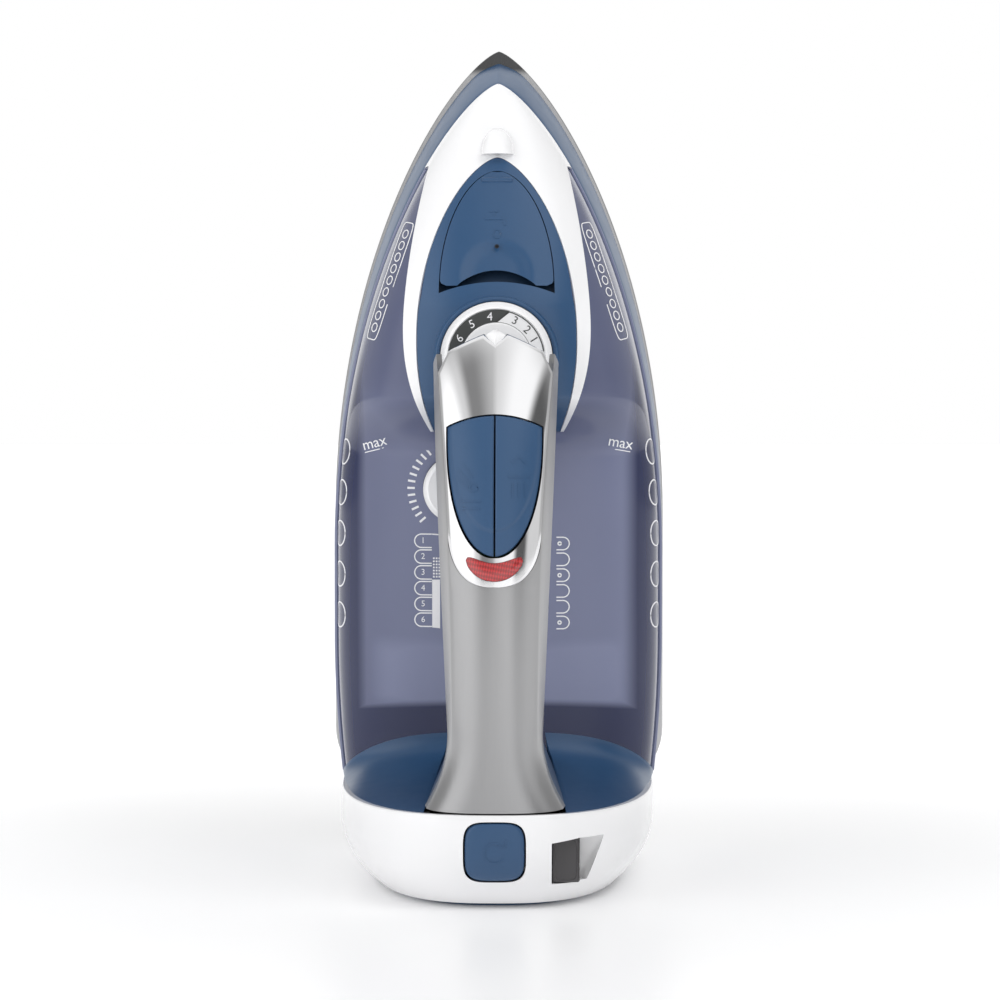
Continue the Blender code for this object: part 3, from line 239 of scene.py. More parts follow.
# ---- meshes from grids ----
def world(points):
    """Millimetres (x, height, station) to metres in the frame's axes."""
    points = np.asarray(points, float)
    return np.stack([points[..., 0], SOLE_FACE - points[..., 1], points[..., 2]], -1) * MM


def grid_quads(rows, columns, wrap_rows=False, wrap_columns=False, keep=None):
    """Corner indices of a grid's cells; keep is a mask of the cells that are there."""
    i = np.arange(rows if wrap_rows else rows - 1)
    j = np.arange(columns if wrap_columns else columns - 1)
    i, j = np.meshgrid(i, j, indexing="ij")
    if keep is not None:
        i, j = i[keep], j[keep]
    i, j = i.ravel(), j.ravel()
    down, right = (i + 1) % rows, (j + 1) % columns
    return np.stack([i * columns + j, i * columns + right, down * columns + right,
                     down * columns + j], -1)


def make_object(name, points, quads, extra=()):
    """A mesh object from points in metres, an array of quads and a list of other faces."""
    mesh = bpy.data.meshes.new(name)
    used, order = np.unique(np.asarray(quads).ravel(), return_inverse=True)
    if len(extra):
        used = np.arange(len(points))
        faces = [tuple(q) for q in np.asarray(quads).tolist()] + [tuple(f) for f in extra]
    else:
        faces = order.reshape(-1, 4).tolist()
    mesh.from_pydata(np.asarray(points)[used].tolist(), [], faces)
    mesh.validate()
    mesh.update()
    obj = bpy.data.objects.new(name, mesh)
    bpy.context.scene.collection.objects.link(obj)
    return obj


def tidy_mesh(obj, merge=2e-6, sharp=35.0, outwards=True):
    """Merge doubles, point the faces out and shade smooth with sharp edges kept."""
    bm = bmesh.new()
    bm.from_mesh(obj.data)
    bmesh.ops.remove_doubles(bm, verts=bm.verts, dist=merge)
    bmesh.ops.dissolve_degenerate(bm, dist=merge / 2, edges=bm.edges)
    if outwards:
        bmesh.ops.recalc_face_normals(bm, faces=bm.faces)
    bm.to_mesh(obj.data)
    bm.free()
    obj.data.shade_smooth()
    obj.data.set_sharp_from_angle(angle=math.radians(sharp))
    return obj


def soften(obj, width=0.35, segments=2, angle=32.0):
    """A small bevel on the hard edges, as a live modifier."""
    bevel = obj.modifiers.new("edge", "BEVEL")
    bevel.width = width * MM
    bevel.segments = segments
    bevel.limit_method = "ANGLE"
    bevel.angle_limit = math.radians(angle)
    bevel.harden_normals = False
    return obj


def settle(obj, body, slot, material, *nodes):
    """Ride a body, take the finish and stand for frame nodes; the slot is not used."""
    obj.data.materials.clear()
    obj.data.materials.append(material)
    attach(obj, body)
    if nodes:
        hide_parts(*nodes)
    return obj


def walled(quads, total):
    """Close a wall: the quads, the same quads on a second layer of points, and a rim."""
    edges = np.concatenate([quads[:, [a, b]] for a, b in ((0, 1), (1, 2), (2, 3), (3, 0))])
    keys = edges.min(1).astype(np.int64) * total + edges.max(1)
    _, first, counts = np.unique(keys, return_index=True, return_counts=True)
    rim = edges[first[counts == 1]]
    sides = np.stack([rim[:, 1], rim[:, 0], rim[:, 0] + total, rim[:, 1] + total], -1)
    return np.concatenate([quads, quads[:, ::-1] + total, sides])


def shell(name, surface, stations, turns, keep=None, wall=None, sharp=35.0):
    """A wall of a curved surface as one closed solid.

    stations is a row of stations, turns a grid of turns with a line for each, keep a mask of
    the cells that are there, and surface(z, turn, inset) the outer face, drawn in by wall
    for the inner face.
    """
    rows, count = turns.shape
    z = np.broadcast_to(stations[:, None], turns.shape)
    outer = surface(z, turns, 0.0).reshape(-1, 3)
    inner = surface(z, turns, wall_mm() if wall is None else wall).reshape(-1, 3)
    quads = walled(grid_quads(rows, count, keep=keep), rows * count)
    return tidy_mesh(make_object(name, world(np.concatenate([outer, inner])), quads), sharp=sharp)


def loft(name, rings, closed=False, sharp=35.0):
    """A skin over closed rings of equal count, with flat ends or joined end to end."""
    rings = np.asarray(rings, float)
    rows, count = rings.shape[:2]
    quads = grid_quads(rows, count, wrap_rows=closed, wrap_columns=True)
    ends = [] if closed else [tuple(range(count)), tuple(range((rows - 1) * count, rows * count))]
    return tidy_mesh(make_object(name, world(rings.reshape(-1, 3)), quads, ends), sharp=sharp)


def lathe(name, centre, profile, sides=96, axis="h", closed=True, sharp=35.0):
    """A turned piece: profile rows of (radius, height along the axis) about a centre."""
    profile = np.asarray(profile, float)
    turn = np.linspace(0.0, 2 * np.pi, sides, endpoint=False)
    across = profile[:, None, 0] * np.cos(turn)
    along = profile[:, None, 0] * np.sin(turn)
    up = profile[:, None, 1] + 0 * turn
    order = {"h": (across, up, along), "z": (across, along, up)}[axis]
    rings = np.stack([order[0] + centre[0], order[1] + centre[1], order[2] + centre[2]], -1)
    return loft(name, rings, closed, sharp)


def arc_profile(start, end, bulge, steps=6):
    """Rows from start to end that bow out by bulge: a quarter-like fillet in a profile."""
    t = np.linspace(0.0, 1.0, steps + 1)[:, None]
    start, end = np.asarray(start, float), np.asarray(end, float)
    along = end - start
    side = np.array([along[1], -along[0]]) / max(np.hypot(*along), 1e-9)
    return start + along * t + side * bulge * np.sin(np.pi * t)


def block(name, x, h, z):
    """A plain cutter or core box between limits in millimetres."""
    ring = np.array([(x[0], h[0]), (x[1], h[0]), (x[1], h[1]), (x[0], h[1])], float)
    return loft(name, [[(a, b, end) for a, b in ring] for end in z])


def bake(obj, sharp=35.0):
    """Make the result of every modifier the object's own mesh."""
    graph = bpy.context.evaluated_depsgraph_get()
    done = bpy.data.meshes.new_from_object(obj.evaluated_get(graph), depsgraph=graph)
    old = obj.data
    obj.modifiers.clear()
    obj.data = done
    bpy.data.meshes.remove(old)
    done.shade_smooth()
    done.set_sharp_from_angle(angle=math.radians(sharp))
    return obj


def carve(obj, *tools, operation="DIFFERENCE", sharp=35.0):
    """Cut other objects out of one, or join them to it; they are used up."""
    for tool in tools:
        modifier = obj.modifiers.new("carve", "BOOLEAN")
        modifier.object = tool
        modifier.operation = operation
        modifier.solver = "EXACT"
        bake(obj, sharp)
        bpy.data.objects.remove(tool)
    return obj


# ---- prints and raised marks ----
def ribbon(path, width, closed=False):
    """A line of the plan (x, station) widened to a patch of two rows of points."""
    path = np.asarray(path, float)
    if closed:
        path = np.concatenate([path, path[:1]])
        ahead = np.roll(path[:-1], -1, 0) - np.roll(path[:-1], 1, 0)
        ahead = np.concatenate([ahead, ahead[:1]])
    else:
        ahead = np.gradient(path, axis=0)
    ahead = ahead / np.maximum(np.linalg.norm(ahead, axis=1, keepdims=True), 1e-9)
    across = np.stack([-ahead[:, 1], ahead[:, 0]], -1) * width / 2
    return np.stack([path - across, path + across], 1)


def patch(corners, steps=(6, 6)):
    """A filled four-cornered patch of the plan, corners given round its outline."""
    a, b, c, d = np.asarray(corners, float)
    u = np.linspace(0.0, 1.0, steps[0])[:, None, None]
    v = np.linspace(0.0, 1.0, steps[1])[None, :, None]
    return (a * (1 - u) + b * u) * (1 - v) + (d * (1 - u) + c * u) * v


def oval(x, z, half, tall, power=2.0, steps=36, turn=0.0):
    """A closed superellipse path round a point of the plan."""
    angle = np.linspace(0.0, 2 * np.pi, steps, endpoint=False)
    across = half * round_power(np.cos(angle), 2 / power)
    up = tall * round_power(np.sin(angle), 2 / power)
    lean = math.radians(turn)
    return np.stack([x + across * np.cos(lean) - up * np.sin(lean),
                     z + across * np.sin(lean) + up * np.cos(lean)], -1)


def line(*ends, steps=8):
    """A straight run of points through two or more ends."""
    ends = np.asarray(ends, float)
    t = np.linspace(0.0, len(ends) - 1, steps * (len(ends) - 1) + 1)
    whole = np.arange(len(ends))
    return np.stack([np.interp(t, whole, ends[:, 0]), np.interp(t, whole, ends[:, 1])], -1)


def letters(text, size, x, z, turn=0.0):
    """Characters of the plan: points (x, station), their side (1 up, 0 down) and faces."""
    curve = bpy.data.curves.new("letters", "FONT")
    curve.body = text
    curve.size = size
    curve.align_x = "CENTER"
    curve.align_y = "CENTER"
    curve.extrude = 0.5
    curve.resolution_u = 3
    holder = bpy.data.objects.new("letters", curve)
    mesh = holder.to_mesh()
    points = np.empty(len(mesh.vertices) * 3)
    mesh.vertices.foreach_get("co", points)
    faces = [tuple(face.vertices) for face in mesh.polygons]
    holder.to_mesh_clear()
    bpy.data.objects.remove(holder)
    bpy.data.curves.remove(curve)
    points = points.reshape(-1, 3)
    lean = math.radians(turn)
    plan = np.stack([x + points[:, 0] * math.cos(lean) - points[:, 1] * math.sin(lean),
                     z + points[:, 0] * math.sin(lean) + points[:, 1] * math.cos(lean)], -1)
    return plan, points[:, 2] > 0, faces


def over(height):
    """Lays a mark on a surface that is a height over the plan."""
    return lambda plan, lift: np.stack([plan[:, 0], height(plan[:, 0], plan[:, 1]) + lift,
                                        plan[:, 1]], -1)


def raised(name, place, marks, rise=None, sunk=0.15, sharp=30.0):
    """Marks laid on a surface as thin closed slabs, joined in one piece.

    place(plan, lift) gives points of the surface; a mark is a patch of points or letters().
    """
    rise = print_mm() if rise is None else rise
    points, faces, start = [], [], 0
    for mark in marks:
        if isinstance(mark, tuple):
            plan, upper, own = mark
            lift = np.where(upper, rise, -sunk)
            faces += [tuple(start + index for index in face) for face in own]
        else:
            rows, count = mark.shape[:2]
            flat = mark.reshape(-1, 2)
            plan = np.concatenate([flat, flat])
            lift = np.repeat([rise, -sunk], len(flat))
            faces += (walled(grid_quads(rows, count), len(flat)) + start).tolist()
        points.append(place(plan, lift))
        start += len(plan)
    everything = world(np.concatenate(points))
    mesh = bpy.data.meshes.new(name)
    mesh.from_pydata(everything.tolist(), [], faces)
    mesh.validate()
    obj = bpy.data.objects.new(name, mesh)
    bpy.context.scene.collection.objects.link(obj)
    return tidy_mesh(obj, merge=5e-7, sharp=sharp)


# ---- shader maths ----
class Value:
    """A number from a shader socket; arithmetic on it adds Math nodes."""

    def __init__(self, paint, socket):
        self.paint = paint
        self.socket = socket

    def math(self, operation, *others):
        return self.paint.node("ShaderNodeMath", {"operation": operation},
                               dict(enumerate((self, *others))))

    def __add__(self, other):
        return self.math("ADD", other)

    def __sub__(self, other):
        return self.math("SUBTRACT", other)

    def __rsub__(self, other):
        return self.paint.node("ShaderNodeMath", {"operation": "SUBTRACT"}, {0: other, 1: self})

    def __mul__(self, other):
        return self.math("MULTIPLY", other)

    def __pow__(self, other):
        return self.math("POWER", other)

    __radd__ = __add__
    __rmul__ = __mul__

    def size(self):
        return self.math("ABSOLUTE")

    def wave(self):
        return self.math("SINE")

    def most(self, other):
        return self.math("MAXIMUM", other)

    def least(self, other):
        return self.math("MINIMUM", other)

    def rise(self, start, end):
        """0 below start, 1 above end, smooth between."""
        return self.paint.node("ShaderNodeMapRange", {"interpolation_type": "SMOOTHSTEP"},
                               {0: self, 1: start, 2: end, 3: 0.0, 4: 1.0})


class Nodes:
    """A node tree that is built one node at a time."""

    def __init__(self, tree):
        self.tree = tree

    def node(self, kind, settings=None, inputs=None, output=0):
        """A node with its settings made first, then its sockets set or linked."""
        made = self.tree.nodes.new(kind)
        for key, value in (settings or {}).items():
            setattr(made, key, value)
        for key, value in (inputs or {}).items():
            if isinstance(value, Value):
                self.tree.links.new(value.socket, made.inputs[key])
            elif value is not None:
                made.inputs[key].default_value = value
        return Value(self, made.outputs[output])


class Paint(Nodes):
    """A material that is built node by node around one Principled BSDF."""

    def __init__(self, name, colour, roughness, metallic=0.0, **constants):
        self.material = bpy.data.materials.new(name)
        self.material.use_nodes = True
        super().__init__(self.material.node_tree)
        self.shader = self.tree.nodes["Principled BSDF"]
        self.colour = tuple(colour)
        self.set("Base Color", (*colour, 1.0))
        self.set("Roughness", roughness)
        self.set("Metallic", metallic)
        for key, value in constants.items():
            self.set(key.replace("_", " "), value)

    def set(self, socket, value):
        self.shader.inputs[socket].default_value = value

    def feed(self, socket, value):
        self.tree.links.new(value.socket, self.shader.inputs[socket])
        return self

    def place(self, axis=None):
        """Object coordinates in metres, or one axis of them."""
        spot = self.node("ShaderNodeTexCoord", output="Object")
        if axis is None:
            return spot
        return self.node("ShaderNodeSeparateXYZ", {}, {0: spot}, output=axis)

    def grain(self, scale, detail=2.0, stretch=(1.0, 1.0, 1.0), roughness=0.5):
        """Noise of object space, stretched by a scale on each axis, from 0 to 1."""
        spot = self.node("ShaderNodeMapping", {}, {0: self.place(), 3: stretch})
        return self.node("ShaderNodeTexNoise", {},
                         {"Vector": spot, "Scale": scale, "Detail": detail,
                          "Roughness": roughness})

    def blend(self, factor, first, second):
        """A colour between two, each a tuple or an earlier result."""
        def whole(colour):
            return colour if isinstance(colour, Value) else (*colour, 1.0)
        return self.node("ShaderNodeMix", {"data_type": "RGBA"},
                         {0: factor, 6: whole(first), 7: whole(second)},
                         output=2)

    def bump(self, height, strength, distance):
        normal = self.node("ShaderNodeBump", {},
                           {"Strength": strength, "Distance": distance, "Height": height})
        return self.feed("Normal", normal)

    def near(self, x, z, reach, fade):
        """1 inside a round spot of the plan, fading out over its edge; all in millimetres."""
        dx = self.place("X") * (1 / MM) - x
        dz = self.place("Z") * (1 / MM) - z
        return 1 - ((dx * dx + dz * dz) ** 0.5).rise(reach - fade, reach + fade)


def tinted(colour, factor):
    """A colour times a factor, kept between 0 and 1."""
    return tuple(min(max(channel * factor, 0.0), 1.0) for channel in colour)


def moulded(name, colour, roughness, peel=0.05, spread=0.04, **constants):
    """Moulded plastic: slight mottling, uneven gloss and a faint orange peel."""
    paint = Paint(name, colour, roughness, **constants)
    mottle = paint.grain(38.0, 3.0)
    paint.feed("Base Color", paint.blend(mottle, tinted(colour, 1 - spread),
                                         tinted(colour, 1 + spread)))
    wear = paint.grain(160.0, 4.0)
    paint.feed("Roughness", wear * 0.10 + (roughness - 0.05))
    paint.bump(paint.grain(900.0, 1.0), peel, 0.0002)
    return paint.material


def brushed(name, colour, roughness, stretch, depth=0.12, painted_shade_from=None):
    """Satin metal with fine lines: noise drawn out along one axis, with painted shade beyond a
    station when one is given.
    """
    paint = Paint(name, colour, roughness, 1.0)
    lines = paint.grain(900.0, 3.0, stretch)
    cloud = paint.grain(30.0, 2.0)
    tone = paint.blend(lines * 0.6 + cloud * 0.4, tinted(colour, 0.93), tinted(colour, 1.06))
    if painted_shade_from is not None:
        # Painted shade on the sole's nose above its face; the face itself keeps its tone.
        tip = (paint.place("Z") * (1 / MM)).rise(painted_shade_from, painted_shade_from + 3.0)
        tip = tip * (1 - (paint.place("Y") * (1 / MM)).rise(SOLE_FACE - 2.4, SOLE_FACE - 1.6))
        tone = paint.blend(tip, tone, tinted(colour, 0.2))
    paint.feed("Base Color", tone)
    paint.feed("Roughness", lines * 0.14 + cloud * 0.05 + (roughness - 0.09))
    paint.bump(lines, depth, 0.00008)
    return paint.material


def plated(name, colour, roughness):
    """Bright plating: almost a mirror, with faint smears and hairline scratches."""
    paint = Paint(name, colour, roughness, 1.0)
    smear = paint.grain(45.0, 3.0)
    hair = paint.grain(500.0, 2.0, (1.0, 1.0, 0.04))
    paint.feed("Roughness", smear * 0.06 + hair.rise(0.62, 0.78) * 0.05 + (roughness - 0.02))
    paint.feed("Base Color", paint.blend(smear, tinted(colour, 0.97), tinted(colour, 1.02)))
    paint.bump(paint.grain(120.0, 2.0), 0.03, 0.0002)
    return paint.material


def cast(name, colour, roughness):
    """Cast or sheet metal that isn't seen much: grainy and mottled."""
    paint = Paint(name, colour, roughness, 1.0)
    grain = paint.grain(700.0, 4.0)
    paint.feed("Base Color", paint.blend(paint.grain(60.0, 3.0), tinted(colour, 0.8),
                                         tinted(colour, 1.08)))
    paint.feed("Roughness", grain * 0.2 + (roughness - 0.1))
    paint.bump(grain, 0.3, 0.0002)
    return paint.material


def clear_red(name, colour):
    """The lamp's lens: deep red under gloss, with its prismatic facets inside shown as painted
    glints.
    """
    paint = Paint(name, colour, 0.12, 0.0, Coat_Weight=1.0, Coat_Roughness=0.04)
    height = paint.place("Z") * (1 / MM)
    # Painted glints of the prismatic facets: two crossed waves that lighten the red, and bump it too.
    facets = ((paint.place("X") * (1 / MM) + height * 0.35) * 4.2).wave()
    cross = ((paint.place("X") * (1 / MM) - height * 0.8) * 3.4).wave()
    shine = (facets * cross).rise(-0.6, 0.9)
    paint.feed("Base Color", paint.blend(shine, tinted(colour, 0.72), tinted(colour, 1.5)))
    paint.bump(shine, 0.35, 0.0004)
    return paint.material


def smoky_with_painted_shade(name, colour, dark):
    """The tank's translucent wall: cool, darker low down with a lighter patch above that, and with
    painted shade at its sides, towards the neck and on its left side.
    """
    paint = Paint(name, colour, 0.16, 0.0, Coat_Weight=0.15, Coat_Roughness=0.05, IOR=1.42)
    z = paint.place("Z") * (1 / MM)
    x = (paint.place("X") * (1 / MM)).size()
    cloud = paint.grain(14.0, 2.0, (1.0, 1.0, 0.6))
    # Darker low down, below a station that dips a little towards the heel at the sides.
    low = 1 - (z + x * x * 0.001).rise(56.0, 60.5)
    # A lighter patch just above that, narrower than the wall.
    patch = z.rise(56.0, 61.0) * (1 - (z + cloud * 9.0).rise(78.0, 86.0)) * (1 - x.rise(37.0, 46.0))
    # Painted shade: darker at the sides where the wall turns from the light, towards the neck, and on
    # the left side, opposite the key light.
    side = x.rise(42.0, 50.0)
    neck = z.rise(138.0, 172.0)
    left = 1 - (paint.place("X") * (1 / MM)).rise(-52.0, -24.0)
    # The painted shade and the darker low end in one mix, less the lighter patch; the mix also makes
    # the wall more opaque.
    shade = low.most(side * 0.92).most(neck * 0.45).most(left * 0.4) - patch * 0.3
    shade = (shade + cloud * 0.3 + 0.04).least(1.0).most(0.0)
    paint.feed("Base Color", paint.blend(shade, colour, dark))
    paint.feed("Roughness", paint.grain(120.0, 3.0) * 0.06 + 0.12)
    paint.feed("Alpha", shade * 0.12 + 0.84)
    paint.bump(paint.grain(26.0, 2.0), 0.04, 0.001)
    return paint.material


def printed(name, colour, roughness=0.4):
    """Screen-printed ink: flat, with slightly uneven cover."""
    paint = Paint(name, colour, roughness)
    ink = paint.grain(1500.0, 2.0)
    paint.feed("Base Color", paint.blend(ink, tinted(colour, 0.94), tinted(colour, 1.03)))
    paint.feed("Roughness", ink * 0.15 + (roughness - 0.07))
    return paint.material


# ---- what a user can change ----
def colour_property(name, description, default):
    """A colour that the user can change."""
    return bpy.props.FloatVectorProperty(name=name, description=description, default=default,
                                         subtype="COLOR",
                                         size=3, min=0.0, max=1.0)


def length_property(name, description, millimetres):
    """A length that the user can change, given in millimetres."""
    return bpy.props.FloatProperty(name=name, description=description, default=millimetres * MM,
                                   min=0.0,
                                   unit="LENGTH", subtype="DISTANCE", precision=5)


class IronColours(bpy.types.PropertyGroup):
    """Colours of the iron's plastics and metals"""
    blue: colour_property("Blue", "Skirt, panel, buttons and scoops", (0.028, 0.080, 0.176))
    white: colour_property("White", "Nose cap, heel and dial", (0.90, 0.90, 0.91))
    tank: colour_property("Tank", "Lighter tone of the water tank", (0.250, 0.275, 0.420))
    # The darker tone is what the tank's painted shade and its darker low end blend to.
    tank_dark_and_painted_shade: colour_property("Tank depth", "Darker tone of the water tank", (0.018, 0.025, 0.080))
    satin: colour_property("Satin", "Handle cover", (0.385, 0.385, 0.39))
    chrome: colour_property("Chrome", "Polished front of the handle", (0.82, 0.82, 0.83))
    steel: colour_property("Steel", "Soleplate", (0.56, 0.56, 0.565))
    lens: colour_property("Lens", "Indicator lens", (0.38, 0.018, 0.020))
    grip: colour_property("Grip", "Lower moulding of the handle", (0.055, 0.085, 0.15))
    ink: colour_property("Ink", "White print on the tank", (0.88, 0.88, 0.9))


class IronSizes(bpy.types.PropertyGroup):
    """Wall, seam and print sizes"""
    wall: length_property("Wall", "Thickness of the moulded skins", 1.8)
    seam: length_property("Seam", "Visible gap between two skins", 0.35)
    print_rise: length_property("Print", "How far print stands over its surface", 0.06)
    line: length_property("Line", "Width of a printed line", 0.42)


def wall_mm():
    """The moulded walls' thickness in millimetres."""
    return bpy.context.scene.iron_sizes.wall / MM


def seam_mm():
    """The gap between neighbouring shells in millimetres."""
    return bpy.context.scene.iron_sizes.seam / MM


def print_mm():
    """How far a print stands up in millimetres."""
    return bpy.context.scene.iron_sizes.print_rise / MM


def line_mm():
    """The width of a printed line in millimetres."""
    return bpy.context.scene.iron_sizes.line / MM


def finish(name):
    """A finish by its maker's name, made the first time that it is asked for."""
    found = bpy.data.materials.get(name)
    if found:
        return found
    tone = bpy.context.scene.iron_colours
    makers = {
        "blue_plastic": lambda: moulded(name, tone.blue, 0.3),
        "blue_button": lambda: moulded(name, tone.blue, 0.42, 0.03),
        "white_gloss": lambda: moulded(name, tone.white, 0.2, 0.03, 0.012, Coat_Weight=0.5,
                                       Coat_Roughness=0.06),
        "tank_wall": lambda: smoky_with_painted_shade(name, tone.tank, tone.tank_dark_and_painted_shade),
        "satin_silver": lambda: brushed(name, tone.satin, 0.33, (1.0, 1.0, 0.03)),
        "bright_chrome": lambda: plated(name, tone.chrome, 0.07),
        "sole_steel": lambda: brushed(name, tone.steel, 0.28, (1.0, 1.0, 0.02),
                                      painted_shade_from=LENGTH - 9.0),
        "red_lens": lambda: clear_red(name, tone.lens),
        "grip_plastic": lambda: moulded(name, tone.grip, 0.45, 0.12),
        "dark_plastic": lambda: moulded(name, (0.045, 0.045, 0.05), 0.5, 0.1),
        "rail_lilac": lambda: moulded(name, tinted(tone.tank, 0.8), 0.3, 0.03),
        "slot_grey": lambda: moulded(name, (0.072, 0.069, 0.072), 0.6, 0.1),
        # The blue darkened to a third: painted shade for the trough under the door.
        "recess_blue_painted_shade": lambda: moulded(name, tinted(tone.blue, 0.35), 0.5, 0.1),
        "shadow_gap": lambda: moulded(name, (0.012, 0.014, 0.02), 0.6, 0.1),
        "white_print": lambda: printed(name, tone.ink),
        "black_print": lambda: printed(name, (0.05, 0.054, 0.053)),
        "rubber_black": lambda: moulded(name, (0.02, 0.02, 0.02), 0.7, 0.2),
        "cast_aluminium": lambda: cast(name, (0.55, 0.55, 0.56), 0.5),
        "bare_steel": lambda: cast(name, (0.45, 0.45, 0.46), 0.35),
        "brass": lambda: cast(name, (0.66, 0.47, 0.2), 0.35),
        "ceramic": lambda: moulded(name, (0.68, 0.64, 0.55), 0.6, 0.2),
        "board_green": lambda: moulded(name, (0.02, 0.11, 0.05), 0.4, 0.1),
        "amber_lamp": lambda: moulded(name, (0.8, 0.35, 0.1), 0.15, 0.02),
    }
    return makers[name]()


# ---- plan outlines ----
def arch_tip(width, widest, tip, inset):
    """Where an arch that is narrowed by inset closes."""
    return widest + (tip - widest) * np.sqrt(1 - (inset / width) ** (1 / NOSE_POWER))


def plan_ring(half, inset, rear, tip, height, count=80):
    """A closed outline of the plan at one height, up the +X side and down the other."""
    corner = rear + SOLE_CORNER * (1 - np.cos(np.linspace(0.0, np.pi / 2, 13)[:-1]))
    start = rear + SOLE_CORNER
    z = np.concatenate([corner, start + (tip - start) * np.sin(np.linspace(0.0, np.pi / 2, count))])
    x = np.maximum(half(z) - inset, 0.0)
    x[-1] = 0.0
    right = np.stack([x, height + 0 * z, z], -1)
    return np.concatenate([right, right[-2::-1] * (-1, 1, 1)])


def sole_ring(inset, height):
    """The sole's outline at one height, drawn in by an inset."""
    tip = arch_tip(SOLE_HALF, SOLE_WIDEST, LENGTH, max(inset, 1e-4))
    return plan_ring(sole_half, inset, SOLE_REAR + inset, tip, height)


def skirt_ring(height, inset):
    """The skirt's outline: it leaves the sole's outline and meets the body's, bowed out a little."""
    share = np.clip((height - SOLE_THICK) / (SHOULDER - SOLE_THICK), 0.0, 1.0)
    share = share ** 1.25
    rings = []
    for half, width, widest, tip in ((skirt_half, SOLE_HALF - 0.75, SOLE_WIDEST, SKIRT_TIP),
                                     (body_half, SOLE_HALF - 1.5, BODY_WIDEST, BODY_TIP)):
        close = arch_tip(width, widest, tip, max(inset, 1e-4))
        rings.append(plan_ring(half, inset, HEEL_BAND + 0.35 + inset, close, height))
    rings[0][:, 2] -= 1.8 * np.clip(1 - (rings[0][:, 0] / 9.0) ** 2, 0.0, None) ** 2
    return rings[0] * (1 - share) + rings[1] * share


def make_soleplate():
    """Pressed steel plate with a rolled rim and steam vents along both sides."""
    rim = ((1.6, 0.0), (0.75, 0.12), (0.3, 0.45), (0.06, 0.9), (0.0, 1.4), (0.0, 2.3), (0.12, 2.8),
           (0.5, SOLE_THICK))
    sole = loft("sole_plate", [sole_ring(inset, height) for inset, height in rim])
    station = np.array([120.0, 148.0, 176.0, 204.0, 230.0])
    reach = sole_half(station) - 17.0
    x = np.concatenate([[0.0], reach, -reach])
    z = np.concatenate([[262.0], station, station])
    turn = np.linspace(0, 2 * np.pi, 20, endpoint=False)
    for across, along in zip(x, z):
        profile = ((2.6, -0.3), (1.7, 0.6), (1.7, SOLE_THICK + 1))
        rings = [[(across + r * math.cos(t), h, along + r * math.sin(t)) for t in turn]
                 for r, h in profile]
        carve(sole, loft("vent", rings))
    return settle(sole, "root", "sole", finish("sole_steel"), "soleplate")


def make_skirt():
    """Blue band between the sole and the upper body, open above and below."""
    heights = np.array([SOLE_THICK + 0.35, 4.2, 6.0, 9.0, 12.0, 15.0, 18.0, 21.0, 24.0, 26.5, 28.4,
                        29.3, SHOULDER - 0.3])
    roll = np.array([0.5, 0.1, 0.0, 0.0, 0.0, 0.0, 0.0, 0.0, 0.0, 0.0, 0.08, 0.3, 0.7])
    outer = [skirt_ring(height, inset) for height, inset in zip(heights, roll)]
    inner = [skirt_ring(height, wall_mm() + 0.8) for height in heights[::-4]]
    skirt = loft("skirt_band", outer + inner, closed=True)
    return settle(skirt, "root", "blue", finish("blue_plastic"), "skirt")


# ---- upper body ----
def lines_between(marks, steps):
    """Grid lines for each row: marks is a list of columns, steps the cells between each pair."""
    parts = []
    for left, right, count in zip(marks[:-1], marks[1:], steps):
        t = np.linspace(0.0, 1.0, count + 1)[:-1]
        parts.append(left[:, None] * (1 - t) + right[:, None] * t)
    return np.concatenate(parts + [marks[-1][:, None]], 1)


def both_sides(turns):
    """Complete the lines of the +X half, which may end before the centre, with their mirror."""
    return np.concatenate([turns, np.pi - turns[:, ::-1]], 1)


def nose_rows(start, end, count):
    """Stations that crowd towards the end, where an outline closes."""
    return start + (end - start) * np.sin(np.linspace(0.0, np.pi / 2, count))


def tank_surface(z, turn, inset):
    """The deck drawn in a little, and more towards the sides."""
    lower = 0.5 + 0.9 * np.cos(turn) ** 2
    return deck_surface(z, turn, inset + lower)


def make_tank():
    """Translucent tank wall under the skins, with room for the dial."""
    rows = np.concatenate([np.linspace(HEEL_BAND + 0.35, CREST_REAR, 64),
                           nose_rows(CREST_REAR, BODY_TIP - 3.0, 50)[1:]])
    turns = both_sides(lines_between([0 * rows, 0 * rows + np.pi / 2], [36]))
    turns = np.delete(turns, 37, 1)
    middle = (turns[:-1, :-1] + turns[1:, 1:]) / 2
    half = body_half(rows[:-1])[:, None] * np.abs(round_power(np.cos(middle), 0.8))
    start = rows[:-1, None]
    well = (start > 154.0) & (start < 196.0) & (half < 20.4)
    well |= (start >= 196.0) & (start < DOOR_NOSE + 1.0) & (half < door_half(start) + 1.2)
    tank = shell("tank_shell", tank_surface, rows, turns, ~well, 1.6)
    turn = np.linspace(0, 2 * np.pi, 64, endpoint=False)
    reach = CLEAN_RADIUS + CLEAN_GAP
    carve(tank, loft("clean_well", [[(CLEAN_X + reach * math.cos(t), h,
                                      CLEAN_STATION + reach * math.sin(t))
                                     for t in turn] for h in (40.0, 100.0)]))
    return settle(tank, "root", "tank", finish("tank_wall"), "water_tank")


def limb_turns(rows):
    """Lines over half the nose cap: window strip, limb, and the panel's opening."""
    limb = np.minimum(window_edge(rows), body_half(rows) * 0.965)
    limb = np.where(rows >= WINDOW_NOSE, body_half(rows) * 0.93, limb)
    opening = np.minimum(panel_half(rows), limb - 0.7)
    opening = np.where(rows >= PANEL_NOSE, 0.0, np.maximum(opening, 0.0))
    return both_sides(lines_between([0 * rows, deck_turn(rows, limb), deck_turn(rows, opening)],
                                    [12, 14]))


